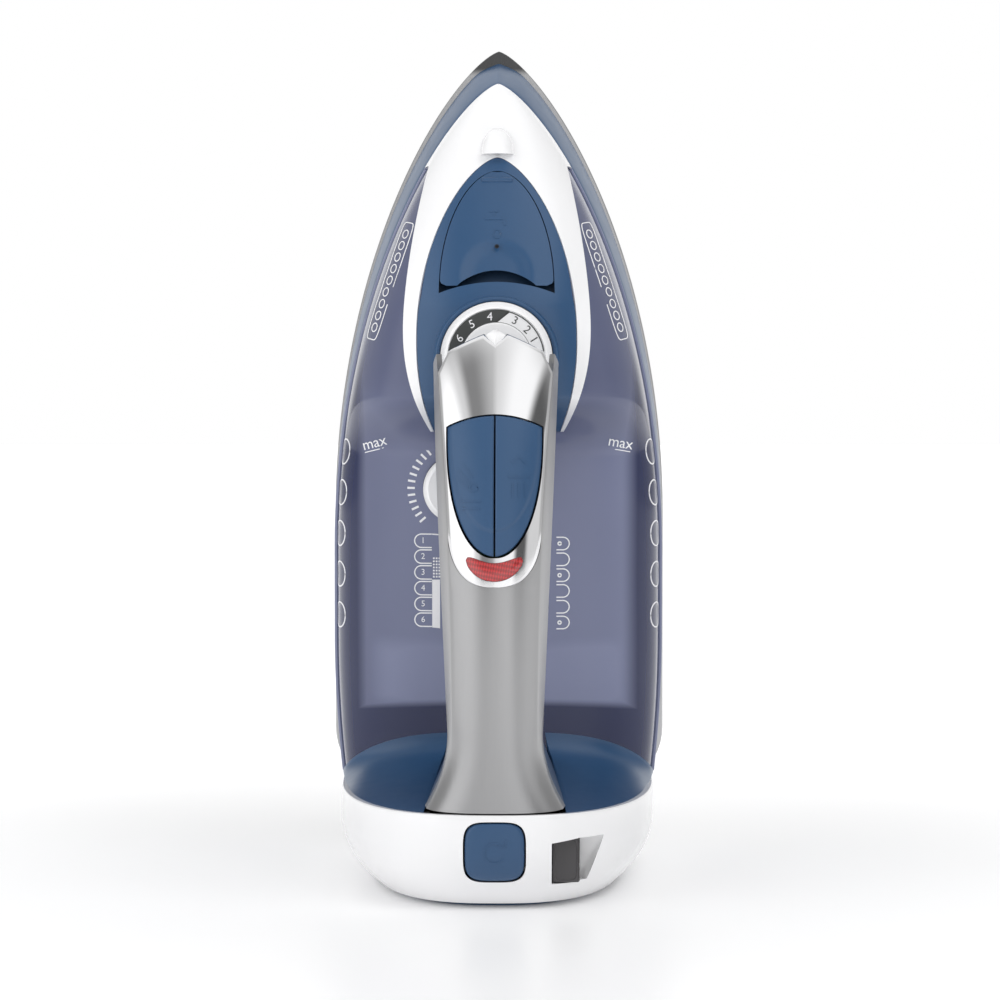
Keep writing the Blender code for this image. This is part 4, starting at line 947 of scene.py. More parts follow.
def make_front_shell():
    """White nose cap with its limbs round the panel, and a thin rail along each side."""
    rows = np.concatenate([np.linspace(PANEL_REAR, 200.0, 44),
                           np.linspace(200.0, WINDOW_NOSE - 0.4, 40)[1:],
                           [WINDOW_NOSE], nose_rows(WINDOW_NOSE + 0.5, PANEL_NOSE, 6),
                           nose_rows(PANEL_NOSE + 0.8, BODY_TIP - 0.06, 30)])
    turns = limb_turns(rows)
    cells = np.arange(turns.shape[1] - 1)
    side = np.minimum(cells, turns.shape[1] - 2 - cells)[None, :]
    start = rows[:-1, None]
    keep = np.where(side < 12, start >= WINDOW_NOSE, np.where(side < 26, True, start >= PANEL_NOSE))
    cap = shell("nose_cap", deck_surface, rows, turns, keep, 1.2)
    settle(cap, "root", "white", finish("white_gloss"), "front_shell")
    z = np.concatenate([np.linspace(HEEL_BAND + 0.35, 200.0, 60),
                        nose_rows(200.0, WINDOW_NOSE + 4.0, 40)[1:]])
    section = ((0.08, 28.2), (0.02, 30.8), (0.25, 31.4), (0.9, 31.7), (1.45, 31.5), (1.6, 30.9),
               (1.6, 28.2))
    for sign, side in ((1, "right"), (-1, "left")):
        ring = [np.stack([sign * (body_half(z) - inset), height + 0 * z, z], -1)
                for inset, height in section]
        settle(loft(f"side_rail_{side}", np.stack(ring, 1)), "root", "tank", finish("rail_lilac"))


def panel_edge_at(x):
    """Rear edge of the fill opening in the panel: a shallow arch."""
    return DOOR_REAR + 1.7 - 3.2 * np.clip(np.abs(x) / 18.0, 0.0, 1.2) ** 2


def door_edge_at(x):
    """Rear edge of the door: along the opening, then up over the finger gap."""
    lift = np.clip(1 - (np.abs(x) / 13.2) ** 2, 0.0, None)
    return np.maximum(panel_edge_at(x) + 0.3, DOOR_REAR + 0.5 + 5.2 * lift ** 0.9)


def on_deck(x, z, inset):
    """Points of the plan lifted onto the deck."""
    return np.stack([x, deck_height_at(x, z, inset), z], -1)


def panel_surface(z, turn, inset):
    """The deck, with stations near the opening's rear edge bent to its arch."""
    x = deck_surface(z, turn)[..., 0]
    pull = np.clip(1 - np.abs(z - DOOR_REAR) / 9.0, 0.0, 1.0)
    return on_deck(x, z + (panel_edge_at(x) - DOOR_REAR) * pull, inset + 0.12)


def make_panel():
    """Blue centre panel with the openings for the door and the dial."""
    seam = seam_mm()
    rows = np.concatenate([np.linspace(PANEL_REAR, DOOR_REAR, 50),
                           np.linspace(DOOR_REAR, 232.0, 34)[1:],
                           nose_rows(232.0, DOOR_NOSE, 20)[1:],
                           nose_rows(DOOR_NOSE + 0.3, PANEL_NOSE - seam, 12)])
    edge = np.maximum(panel_half(rows) - seam, 0.0)
    nose = (rows > DOOR_REAR - 0.01) & (rows < DOOR_NOSE)
    door = np.where(nose, door_half(rows) + seam / 2,
                    np.where(rows < DOOR_REAR, 19.2 + seam / 2, 0.0))
    door = np.minimum(door, edge * 0.96)
    turns = both_sides(lines_between([deck_turn(rows, edge), deck_turn(rows, door),
                                      0 * rows + np.pi / 2], [8, 16]))
    cells = np.arange(turns.shape[1] - 1)
    side = np.minimum(cells, turns.shape[1] - 2 - cells)[None, :]
    start = rows[:-1, None]
    open_rows = (start >= DOOR_REAR - 0.01) & (start < DOOR_NOSE - 0.01)
    panel = shell("deck_panel", panel_surface, rows, turns, (side < 8) | ~open_rows)
    turn = np.linspace(0, 2 * np.pi, 96, endpoint=False)
    reach = DIAL_RADIUS + DIAL_GAP
    carve(panel, loft("well", [[(reach * math.cos(t), h, DIAL_STATION + reach * math.sin(t))
                                for t in turn]
                               for h in (60.0, 110.0)]))
    return settle(panel, "root", "blue", finish("blue_plastic"), "centre_panel")


def door_surface(z, turn, inset):
    """The deck over the door, its rear edge arched and dished for a finger."""
    x = deck_surface(z, turn)[..., 0]
    start = DOOR_REAR + 0.4
    pull = np.clip(1 - (z - start) / 20.0, 0.0, 1.0)
    bent = z + (door_edge_at(x) - start) * pull
    dish = np.clip(1 - (x / 13.0) ** 2 - ((bent - 203.5) / 13.0) ** 2, 0.0, 1.0)
    return on_deck(x, bent, inset + 0.05 + 1.9 * ease(dish * 1.3))


def make_door():
    """Hinged fill door with its finger dish."""
    seam = seam_mm()
    rows = np.concatenate([np.linspace(DOOR_REAR + 0.4, 232.0, 40),
                           nose_rows(232.0, DOOR_NOSE - seam, 20)[1:]])
    half = np.maximum(door_half(rows) - seam / 2, 0.05)
    corner = np.clip(1 - (rows - rows[0]) / 2.2, 0.0, 1.0)
    half = half - 2.2 * (1 - np.sqrt(1 - corner ** 2))
    turns = both_sides(lines_between([deck_turn(rows, half), 0 * rows + np.pi / 2], [26]))
    turns = np.delete(turns, 27, 1)
    door = shell("door_lid", door_surface, rows, turns)
    return settle(door, "door", "blue", finish("blue_plastic"), "fill_door")


def make_barrel():
    """The door's hinge: a small barrel round its pin."""
    height = SOLE_FACE - sum(span("fill_door_pin", 1)) / 2
    turn = np.linspace(0, 2 * np.pi, 32, endpoint=False)
    rings = [[(x, height + r * math.cos(t), HINGE_STATION + r * math.sin(t)) for t in turn]
             for x, r in ((-5.2, 0.7), (-4.9, 1.0), (4.9, 1.0), (5.2, 0.7))]
    return settle(loft("hinge_barrel", rings), "root", "blue", finish("blue_plastic"),
                  "fill_door_pin")


def make_recess():
    """Trough under the door, seen through the finger gap, in blue darkened as painted shade."""
    def trough(z, share, inset):
        x = share * (door_half(np.minimum(z, DOOR_NOSE - 2.0)) + 1.6)
        along = np.clip(np.abs(z - 217.0) / 25.0, 0.0, 1.0)
        depth = 2.4 + 3.6 * (1 - np.abs(share) ** 4) * (1 - along ** 4)
        return on_deck(x, z, depth + inset)

    rows = np.linspace(192.5, HINGE_STATION - 5.6, 30)
    share = np.broadcast_to(np.linspace(1.0, -1.0, 31), (30, 31))
    recess = shell("fill_recess", trough, rows, share, wall=0.8)
    station = sum(span("fill_neck", 2)) / 2
    turn = np.linspace(0, 2 * np.pi, 48, endpoint=False)
    carve(recess, loft("neck_hole", [[(8.0 * math.cos(t), h, station + 8.0 * math.sin(t))
                                      for t in turn]
                                     for h in (50.0, 100.0)]))
    return settle(recess, "root", "blue", finish("recess_blue_painted_shade"))


def make_nozzle():
    """Spray nozzle: a half dome on the nose cap with a flat mouth and a bore, standing for the tip as
    well.
    """
    start, end = span("spray_nozzle", 2)
    rows = end - (end - start) * np.sin(np.linspace(0.04, np.pi / 2, 18))
    share = np.clip((rows - start) / (end - start), 0.0, 1.0)
    radius = 5.6 * (1 - share ** 2.4) ** 0.5
    radius = np.maximum(radius, 0.3)
    turn = np.linspace(0.0, np.pi, 31)
    arcs = []
    for z, size in zip(rows, radius):
        base = deck_height_at(0.0, z) - 1.0
        x = np.concatenate([size * np.cos(turn)])
        arcs.append(np.stack([x, base + 1.0 + size * 1.02 * np.sin(turn), np.full_like(x, z)], -1))
        arcs[-1][0, 1] = arcs[-1][-1, 1] = base
    dome = loft("nozzle_dome", arcs, sharp=40.0)
    height = float(deck_height_at(0.0, 250.0)) + 2.6
    carve(dome, lathe("bore", (0.0, height, 0.0),
                      ((1.3, 240.0), (1.3, 248.0), (0.7, 248.0), (0.7, 250.0), (0.0, 250.0),
                       (0.0, 240.0)), 24, "z"))
    return settle(dome, "root", "white", finish("white_gloss"), "spray_nozzle", "nozzle_tip")


def make_collar():
    """Blue ring that the dial turns in."""
    inner, outer = DIAL_RADIUS + 0.35, DIAL_RADIUS + 1.9
    top = CREST + 0.9
    profile = np.concatenate([[(inner, CREST - 5.0), (inner, top - 0.6)],
                              arc_profile((inner, top - 0.6), (outer, top - 1.0), -0.75, 8)[1:],
                              [(outer + 0.4, CREST - 2.5), (outer + 0.4, CREST - 5.0)]])
    ring = lathe("dial_collar", (0.0, 0.0, DIAL_STATION), profile)
    return settle(ring, "root", "blue", finish("blue_plastic"))


BAND_OUTER = 16.1
BAND_INNER = 11.4


def make_dial():
    """Turning dial: a rolled white rim round a slightly sunk number band."""
    top = DIAL_TOP
    rim = DIAL_RADIUS
    profile = np.concatenate([[(3.2, DIAL_LOW), (rim - 0.8, DIAL_LOW), (rim - 0.2, DIAL_LOW + 0.5),
                               (rim, DIAL_LOW + 1.2),
                               (rim, top - 0.9)],
                              arc_profile((rim, top - 0.9), (BAND_OUTER + 0.25, top - 0.05), -0.5,
                                          8)[1:],
                              [(BAND_OUTER, top - 0.45), (BAND_INNER, top - 0.3),
                               (BAND_INNER - 0.2, top - 0.1),
                               (6.0, top), (3.2, top)]])
    dial = lathe("dial_disc", (0.0, 0.0, DIAL_STATION), profile, 144)
    return settle(dial, "dial", "white", finish("white_gloss"), "temperature_dial")


def polar(radius, degrees):
    """Points of the plan about the dial's axis."""
    angle = np.radians(degrees)
    return np.stack([radius * np.cos(angle), DIAL_STATION + radius * np.sin(angle)], -1)


def dial_height(x, z):
    """Height of the dial's face, level all over."""
    return DIAL_TOP - 0.37 + 0 * x


def make_dial_prints():
    """Numbers 1 to 6: three light ones on a dark zone and three dark ones in an outline."""
    share = np.linspace(0.0, 1.0, 48)
    outer = polar(BAND_OUTER - 0.05, 172.0 + (74.0 - 172.0) * share)
    inner = polar(BAND_INNER + 0.05, 172.0 + (91.0 - 172.0) * share)
    steps = np.linspace(0.0, 1.0, 5)[None, :, None]
    zone = outer[:, None] * (1 - steps) + inner[:, None] * steps
    arcs = [polar(BAND_OUTER - 0.3, np.linspace(74.0, 8.0, 40)),
            polar(BAND_INNER + 0.3, np.linspace(91.0, 8.0, 40))]
    edge = line(polar(BAND_OUTER - 0.2, 74.0), polar(BAND_INNER + 0.2, 91.0))
    marks = [zone] + [ribbon(path, 0.34) for path in (*arcs, edge)]
    spots = {"6": 152.0, "5": 126.0, "4": 99.0, "3": 63.5, "2": 42.5, "1": 26.0}
    middle = (BAND_OUTER + BAND_INNER) / 2
    dark = marks + [letters(text, 3.9, *polar(middle, spots[text]),
                            turn=0.8 * (spots[text] - 90) - 6) for text in "321"]
    light = [letters(text, 3.9, *polar(middle, spots[text]), turn=0.8 * (spots[text] - 90) - 6)
             for text in "654"]
    settle(raised("dial_dark_print", over(dial_height), dark), "dial", "white",
           finish("black_print"))
    settle(raised("dial_light_print", over(dial_height), light, print_mm() * 2), "dial", "white",
           finish("white_print"))


# ---- handle ----
SHOULDER_FALL = 6.4
DOME_END = 172.0
COVER_TIP = 176.4
BUTTON_TIP = 112.5
BUTTON_WIDE = 14.95
BUTTON_CORNER = 152.9
BUTTON_TOP = 156.4
PAD_TIP = 120.4


def handle_half(z):
    """The handle's half-width: straight taper with a square flare to the heel."""
    rear = np.clip((GRIP_WAIST - z) / (GRIP_WAIST - HEEL_BAND), 0.0, None)
    return 15.3 + 7.6 * rear ** 2 + 0.0437 * np.clip(z - GRIP_WAIST, 0.0, None)


def ridge_half(z):
    """Where the crowned top folds over into the steep sides."""
    return 13.4 + 5.7 * np.clip((z - 60.0) / 116.0, 0.0, None) ** 2.2


def handle_height(x, z):
    """Height of the handle's top: crowned between two ridges, with a faint fold down the middle."""
    across = np.abs(x)
    half, ridge, top = handle_half(z), ridge_half(z), grip_top(z)
    fold = 0.75 * ease((z - 76.0) / 34.0)
    near = np.clip(across / ridge, 0.0, 1.0)
    crown = top - fold * near - (SHOULDER_FALL - fold) * near ** 2.4
    out = np.clip((across - ridge) / (half - ridge), 0.0, 1.0)
    side = top - SHOULDER_FALL - (COVER_DEPTH - SHOULDER_FALL) * out ** 1.25
    smooth = top - COVER_DEPTH * (1 - (1 - np.clip(across / half, 0.0, 1.0) ** 2.5) ** 0.4)
    share = ease((z - 46.0) / 26.0)
    return np.where(across < ridge, crown, side) * share + smooth * (1 - share)


def handle_skin(z, x, inset):
    """A point of the handle's top, drawn in towards its middle for an inner face."""
    return np.stack([x * (1 - inset / handle_half(z)), handle_height(x, z) - inset, z + 0 * x], -1)


def bezel_half(z):
    """Half-width of the chrome bezel: a U under the lens that runs out to the ridges."""
    t = np.clip((119.0 - z) / (119.0 - BEZEL_REAR), 0.0, 1.0)
    front = np.clip(z - DOME_END, 0.0, None)
    return np.minimum(ridge_half(z), 14.7) * (1 - t ** 2) ** 0.35 * (z < 119.0) \
        + (ridge_half(np.minimum(z, DOME_END)) - 0.3 * front) * (z >= 119.0)


def make_cover():
    """Satin cover: the grip's top and a steep strip along each side, up to two pointed tips."""
    seam = seam_mm()
    rows = np.unique(np.concatenate([np.linspace(GRIP_REAR, 60.0, 36),
                                     np.linspace(60.0, BEZEL_REAR, 40),
                                     nose_rows(119.0, BEZEL_REAR, 24),
                                     np.linspace(119.0, COVER_TIP, 60)]).round(4))
    tip = np.clip(COVER_TIP - rows, 0.0, None)
    outer = np.minimum(handle_half(rows), ridge_half(COVER_TIP) + tip * 0.55)
    ridge = ridge_half(rows)
    band = np.minimum(np.where(rows > BEZEL_REAR, bezel_half(rows) + seam * 0.6, 0.0), ridge)
    grid = lines_between([outer, ridge, band, 0 * rows], [10, 12, 16])
    grid = np.concatenate([grid, -grid[:, -2::-1]], 1)
    cells = np.arange(grid.shape[1] - 1)
    side = np.minimum(cells, grid.shape[1] - 2 - cells)[None, :]
    start = rows[:-1, None]
    keep = (side < 10) | ((side < 22) & (start < 118.9)) | (start < BEZEL_REAR - 0.01)
    cover = shell("grip_cover", handle_skin, rows, grid, keep, sharp=50.0)
    return settle(cover, "root", "satin_cover", finish("satin_silver"), "handle_cover")


def front_edge(x):
    """Front edge of the chrome in plan: convex, with a notch for the pointer."""
    across = np.abs(x)
    return GRIP_FRONT + 1.0 - 7.2 * (across / 16.2) ** 1.25 - 4.6 * np.clip(1 - across / 3.8, 0.0,
                                                                            None) ** 0.8


def dome_skin(z, x, inset):
    """The handle's top with its front stations bent to the chrome's front edge, edges rolled."""
    pull = np.clip((z - 164.0) / (184.0 - 164.0), 0.0, 1.0) ** 1.5
    bent = z + (front_edge(x) - 184.0) * pull
    edge = bezel_half(z) - np.abs(x)
    roll = 0.3 * (1 - ease(edge / 0.7)) + 0.5 * (1
                                                 - ease((front_edge(x) - bent)
                                                        / 0.9)) * (bent > 170)
    return np.stack([x * (1 - inset / handle_half(bent)),
                     handle_height(x, bent) + 0.28 - roll - inset, bent], -1)


def button_edge(z):
    """A button's half-width: full at its corner, closing to its tip as a power curve."""
    t = np.clip((BUTTON_CORNER - z) / (BUTTON_CORNER - BUTTON_TIP), 0.0, 1.0)
    return BUTTON_WIDE * (1 - t ** 2.4) ** 0.5


def button_top(x):
    """Station of a button's upper end: a shallow square arch across its width."""
    return BUTTON_TOP - 3.6 * (np.abs(x) / BUTTON_WIDE) ** 2


def button_outline(gap, count=60):
    """The shield's outline, grown by a gap, as a closed path of the plan."""
    z = BUTTON_TIP - gap + (BUTTON_CORNER - BUTTON_TIP
                            + gap) * np.sin(np.linspace(0, np.pi / 2, count)) ** 2
    right = np.stack([button_edge(BUTTON_TIP + z - BUTTON_TIP + gap)
                      + gap * (z > BUTTON_TIP - gap + 1e-9), z], -1)
    x = np.linspace(BUTTON_WIDE + gap, -BUTTON_WIDE - gap, 31)[1:-1]
    over = np.stack([x, button_top(x) + gap], -1)
    return np.concatenate([right, over, right[::-1][:-1] * (-1, 1)])


def lens_shape(x, v):
    """Stations across the crescent: v runs -1 to 1 from its lower to its upper edge."""
    middle = LENS_LOW - 0.2 + 2.95 + 3.7 * (x / 9.0) ** 2
    return middle + v * 2.95 * np.sqrt(np.clip(1 - (np.abs(x) / 9.0) ** 4, 0.0, 1.0))


def make_bezel():
    """Chrome front of the handle with wells for the buttons and the lens."""
    rows = np.unique(np.concatenate([nose_rows(119.0, BEZEL_REAR + 0.05, 30),
                                     np.linspace(119.0, 164.0, 50),
                                     np.linspace(164.0, 184.0, 34)]).round(4))
    share = np.sin(np.linspace(-np.pi / 2, np.pi / 2, 61)) * 0.5 + np.linspace(-1.0, 1.0, 61) * 0.5
    grid = bezel_half(rows)[:, None] * -share[None, :]
    bezel = shell("chrome_bezel", dome_skin, rows, grid, sharp=50.0)
    well = button_outline(0.55)
    carve(bezel, loft("well", [[(x, h, z) for x, z in well] for h in (90.0, 160.0)]))
    x = np.linspace(-9.0, 9.0, 41)
    crescent = np.concatenate([np.stack([x, lens_shape(x, -1.0)], -1),
                               np.stack([x, lens_shape(x, 1.0)], -1)[-2:0:-1]])
    carve(bezel, loft("lens_well", [[(a, h, z) for a, z in crescent] for h in (90.0, 160.0)]),
          sharp=50.0)
    return settle(bezel, "root", "chrome_trim", finish("bright_chrome"), "control_bezel")


def pad_step(x, z):
    """0 outside the raised pad, 1 on it, from a distance to its outline."""
    t = np.clip((BUTTON_CORNER - z) / (BUTTON_CORNER - PAD_TIP), 0.0, 2.0)
    across = np.abs(x) / (BUTTON_WIDE - 0.9)
    field = 1 - across ** 2 - t ** 2.4
    slope = np.hypot(2 * across / (BUTTON_WIDE - 0.9), 2.4 * t ** 1.4 / (BUTTON_CORNER - PAD_TIP))
    return ease(0.5 + field / np.maximum(slope, 0.02) / 1.1)


def button_skin(z, x, inset):
    """The handle's top raised by the pad, stations bent to the button's end, edges rolled."""
    bent = z - (BUTTON_TOP - button_top(x)) * np.clip((z - 138.0) / (BUTTON_TOP - 138.0), 0.0,
                                                      1.0) ** 1.6
    edge = np.minimum(button_edge(bent) - np.abs(x), np.abs(x) - 0.3)
    edge = np.minimum(edge, button_top(x) - bent)
    edge = np.minimum(edge, (bent - BUTTON_TIP) * 0.7)
    roll = 0.32 * (1 - ease(edge / 0.6))
    height = handle_height(x, bent) - 0.05 + 0.5 * pad_step(x, bent) - roll
    return np.stack([x, height - inset, bent], -1)


def make_buttons():
    """Spray and steam buttons: two halves of a shield with a raised pad."""
    rows = np.concatenate([BUTTON_TIP + (BUTTON_CORNER - BUTTON_TIP)
                           * (1 - np.cos(np.linspace(0.0, np.pi / 2, 90))),
                           np.linspace(BUTTON_CORNER, BUTTON_TOP, 9)[1:]])
    share = 0.5 - 0.5 * np.cos(np.linspace(0.0, np.pi, 41))
    edge = np.maximum(button_edge(rows), 0.35)[:, None]
    for body, sign in (("spray", -1.0), ("steam", 1.0)):
        grid = sign * (0.3 + (edge - 0.3) * share[None, :])
        button = shell(f"{body}_button_cap", button_skin, rows, grid, wall=1.8, sharp=50.0)
        settle(button, body, "blue", finish("blue_button"), f"{body}_button")


def make_lens():
    """Red lens: a domed crescent."""
    def lens_skin(x, v, inset):
        z = lens_shape(x, v)
        dome = 0.55 * np.clip(1 - v ** 2, 0.0, 1.0) * np.clip(1 - (np.abs(x) / 9.0) ** 3, 0.0, 1.0)
        return np.stack([x + 0 * v, handle_height(x, z) + 0.05 + dome - inset, z], -1)

    x = 8.85 * np.sin(np.linspace(-np.pi / 2, np.pi / 2, 61))
    v = np.broadcast_to(0.965 * np.sin(np.linspace(-np.pi / 2, np.pi / 2, 21)), (61, 21))
    lens = shell("lens_crescent", lens_skin, x, v, wall=1.4)
    return settle(lens, "root", "lens", finish("red_lens"), "indicator_lens")


def make_pointer():
    """The dial's index: a kite with a ridge down its middle, in the notch of the chrome."""
    low, high = GRIP_FRONT - 5.0, GRIP_FRONT + 1.4
    share = np.linspace(0.02, 1.0, 24)
    z = low + (high - low) * share
    half = 3.1 * np.minimum((share / 0.72) ** 0.7,
                            1.0) * (1 - 0.86 * np.clip((share - 0.72) / 0.28, 0.0, 1.0))
    top = grip_top(np.minimum(z, GRIP_FRONT + 0.5)) + 0.5 - 1.2 * share
    rings = [np.stack([-half, top - 1.3, z], -1), np.stack([0 * z, top, z], -1),
             np.stack([half, top - 1.3, z], -1),
             np.stack([half * 0.7, top - 7.0, z], -1), np.stack([-half * 0.7, top - 7.0, z], -1)]
    kite = loft("index_kite", np.stack(rings, 1), sharp=20.0)
    return settle(kite, "root", "white", finish("white_gloss"), "dial_pointer")


def make_handle_body():
    """The grip's lower moulding: rounded below, with its pillars at the heel and at the crest."""
    path = np.array([(GRIP_REAR, 60.0), (42.0, 60.0), (47.0, 78.0), (53.0, 98.0), (62.0, 108.0),
                     (74.0, 110.0),
                     (120.0, 110.0), (133.0, 106.0), (140.0, 97.0), (145.0, 84.0), (145.0, 66.0),
                     (156.0, 66.0),
                     (156.0, 94.0), (162.0, 94.5), (175.0, 95.0)])
    for _ in range(3):
        ends = path[:1], path[-1:]
        path = np.concatenate([ends[0], np.stack([path[:-1] * 0.75 + path[1:] * 0.25,
                                                  path[:-1] * 0.25 + path[1:] * 0.75],
                                                 1).reshape(-1, 2), ends[1]])
    z, low = path[:, 0], path[:, 1]
    high = np.maximum(grip_top(z) - COVER_DEPTH - 0.3, low + 0.6)
    taper = 1 - 0.35 * np.clip((z - 166.0) / 12.0, 0.0, 1.0) ** 2
    half = (handle_half(z) - 0.4) * taper
    corner = np.minimum(np.minimum(7.0, half * 0.6), (high - low) * 0.6)
    turn = np.linspace(0.0, np.pi / 2, 7)
    right = [np.stack([half - corner * (1 - np.sin(t)), low + corner * (1 - np.cos(t)), z], -1)
             for t in turn]
    right.append(np.stack([half, high, z], -1))
    left = [points * (-1, 1, 1) for points in reversed(right)]
    body = loft("grip_moulding", np.stack(right + left, 1), sharp=40.0)
    return settle(body, "root", "grip", finish("grip_plastic"), "handle_body")


def make_clean_button():
    """White button of the steam valve, half under the handle."""
    low, high = SOLE_FACE - span("auto_clean_button", 1)[1], CLEAN_TOP
    radius = CLEAN_RADIUS
    profile = np.concatenate([[(0.4, high - 0.75), (4.6, high - 0.8), (4.6, low),
                               (radius - 0.5, low), (radius, low + 0.5)],
                              arc_profile((radius, high - 1.6), (radius - 1.8, high - 0.25), -0.35,
                                          6),
                              [(radius - 4.5, high - 0.05), (4.0, high), (0.4, high)]])
    button = lathe("clean_button", (CLEAN_X, 0.0, CLEAN_STATION), profile, 96)
    return settle(button, "clean", "white", finish("white_gloss"), "auto_clean_button")


# ---- heel ----
def heel_arch(turn, half, base, top):
    """Half a superellipse over the heel's base line."""
    power = 2 / HEEL_SECTION
    return half * round_power(np.cos(turn),
                              power), base + (top - base) * np.abs(np.sin(turn)) ** power


def heel_ring(z, inset, low, corner=8.0):
    """The heel's D outline at one station: an arch over short sides and round corners."""
    half, top = HEEL_HALF - inset, HEEL_TOP - inset
    x, h = heel_arch(np.linspace(0.0, np.pi, 121), half, ARCH_START, top)
    ring = [np.stack([x, h], -1)]
    for side, start in ((-1, np.pi), (1, 1.5 * np.pi)):
        turn = np.linspace(start, start + np.pi / 2, 9)
        ring.append(np.stack([side * (half - corner) + corner * np.cos(turn),
                              low + corner + corner * np.sin(turn)], -1))
    flat = np.concatenate(ring)
    return np.stack([flat[:, 0], flat[:, 1], np.full(len(flat), z)], -1)


def heel_surface(x, z):
    """Height of the heel over a point of the plan."""
    inset = heel_inset(z)
    share = np.clip(np.abs(x) / (HEEL_HALF - inset), 0.0, 1.0)
    return ARCH_START + (HEEL_TOP - inset
                         - ARCH_START) * (1 - share ** HEEL_SECTION) ** (1 / HEEL_SECTION)


def rewind_ring(share):
    """A rounded square round the rewind button's middle, as plan points."""
    half = (span("rewind_button", 0)[1] - span("rewind_button", 0)[0]) / 2 - 0.25
    return oval(0.0, REWIND_STATION + 0.2, half * share, half * share * 0.985, 4.0, 72)


def make_heel():
    """White heel cup with its rewind hole, the cord slot and a slanted lead-in beside it."""
    outer = [(HEEL_LOW, 0.0), (2.2, 0.0), (3.4, 0.0), (5.0, 0.0), (7.0, 0.0), (9.5, 0.0),
             (12.5, 0.0), (16.0, 0.0),
             (20.0, 0.0), (25.0, 0.0), (29.6, 0.0), (30.6, 0.12), (HEEL_BAND, 0.5)]
    rings = [heel_ring(z, float(heel_inset(z)) + extra, HEEL_UNDER) for z, extra in outer]
    rings += [heel_ring(z, float(heel_inset(z)) + 2.2, HEEL_UNDER + 2.2)
              for z in (HEEL_BAND, 17.0, 11.0, 6.5, 4.6)]
    heel = loft("heel_shell", rings)
    hole = oval(0.0, REWIND_STATION + 0.2, 9.95, 9.8, 4.0, 72)
    carve(heel, loft("hole", [[(x, h, z) for x, z in hole] for h in (132.0, 160.0)]))
    low, high = OUTLET_STATION - 7.4, OUTLET_STATION + 7.4
    left, right = OUTLET_X - 4.5, OUTLET_X + 4.5
    x = np.linspace(left - 2.0, right + 9.5, 12)
    stations = np.linspace(low - 1.4, high + 1.4, 6)
    collar = [[(a, heel_surface(a, z) - 1.2, z) for a in x]
              + [(a, heel_surface(a, z) - 10.0, z) for a in x[::-1]]
              for z in stations]
    carve(heel, loft("collar", collar), operation="UNION")
    slot = [(left, low), (right, low), (right, high), (left, high - 1.2)]
    carve(heel, loft("slot", [[(x, h, z) for x, z in slot] for h in (120.0, 160.0)]))
    wedge = []
    for z, reach in ((low + 0.6, 2.3), (high, 7.8)):
        end = right + reach
        wedge.append([(right - 0.6, heel_surface(right, z) - 6.0, z),
                      (right + 0.2, heel_surface(right, z) - 6.0, z),
                      (end, heel_surface(end, z) + 0.2, z), (end, 160.0, z),
                      (right - 0.6, 160.0, z)])
    carve(heel, loft("wedge", wedge))
    return settle(heel, "root", "white", finish("white_gloss"), "heel_cover")


def make_outlet():
    """Dark liner in the cord slot, dished where the cord comes out."""
    x = (OUTLET_X - 4.15, OUTLET_X + 4.15)
    z = (OUTLET_STATION - 7.05, OUTLET_STATION + 7.05)
    liner = block("outlet_liner", x, (128.0, 138.6), z)
    dish = oval(OUTLET_X, OUTLET_STATION, 3.6, 6.5, 5.0, 40)
    carve(liner, loft("dish", [[(a, h, b) for a, b in dish] for h in (138.2, 150.0)]))
    soften(liner, 0.4)
    return settle(liner, "root", "rubber", finish("slot_grey"), "outlet_bush")


def scoop_edge(x):
    """Where the scoops meet the tank: far from the heel in the middle, at it on the sides."""
    share = np.clip(np.abs(x) / 54.6, 0.0, 1.0)
    return HEEL_BAND + 0.5 + 16.6 * (1 - share ** 3.2) ** 0.7


def scoop_surface(v, turn, inset):
    """A concave sweep from the heel's arch (v = 0) down to the tank (v = 1)."""
    top_x, top_h = heel_arch(turn, HEEL_HALF - 1.1 - inset, ARCH_START, HEEL_TOP - 1.1 - inset)
    low_x = (HEEL_HALF + 0.9 - inset) * round_power(np.cos(turn), 0.8)
    end = scoop_edge(low_x)
    low_h = deck_height_at(low_x, end, inset + 0.35)
    fall = (1 - v) ** 2.6
    station = HEEL_BAND - 0.4 + (end - HEEL_BAND + 0.4) * (0.25 * v + 0.75 * v ** 1.5)
    return np.stack([low_x + (top_x - low_x) * fall, low_h + (top_h - low_h) * fall, station], -1)


def make_scoops():
    """Blue scoops between tank and heel, one on each side of the handle."""
    v = 1 - np.cos(np.linspace(0.0, np.pi / 2, 34))
    turn = np.linspace(0.0, np.pi / 2, 91)
    spots = scoop_surface(v[:, None], turn[None, :] + 0 * v[:, None], 0.0)
    over = handle_half(spots[..., 2]) + 0.3 - spots[..., 0]
    limit = np.array([np.interp(0.0, row, turn) for row in over])
    right = limit[:, None] * np.linspace(0.0, 1.0, 61)
    for side, turns, nodes in (("right", right, ["heel_deck"]), ("left", np.pi - right, [])):
        scoop = shell(f"heel_scoop_{side}", scoop_surface, v, turns)
        settle(scoop, "root", "blue", finish("blue_plastic"), *nodes)


def make_foot():
    """Blue foot plate under the heel."""
    rings = [heel_ring(0.0, 17.2, 9.0), heel_ring(0.25, 16.4, 8.4), heel_ring(1.3, 16.0, 8.0)]
    foot = loft("foot_plate", rings)
    return settle(foot, "root", "blue", finish("blue_plastic"), "heel_foot")


def rewind_height(x, z):
    """Height of the rewind button's face over the plan."""
    return HEEL_TOP + 0.45 - heel_inset(z) - 0.012 * x ** 2


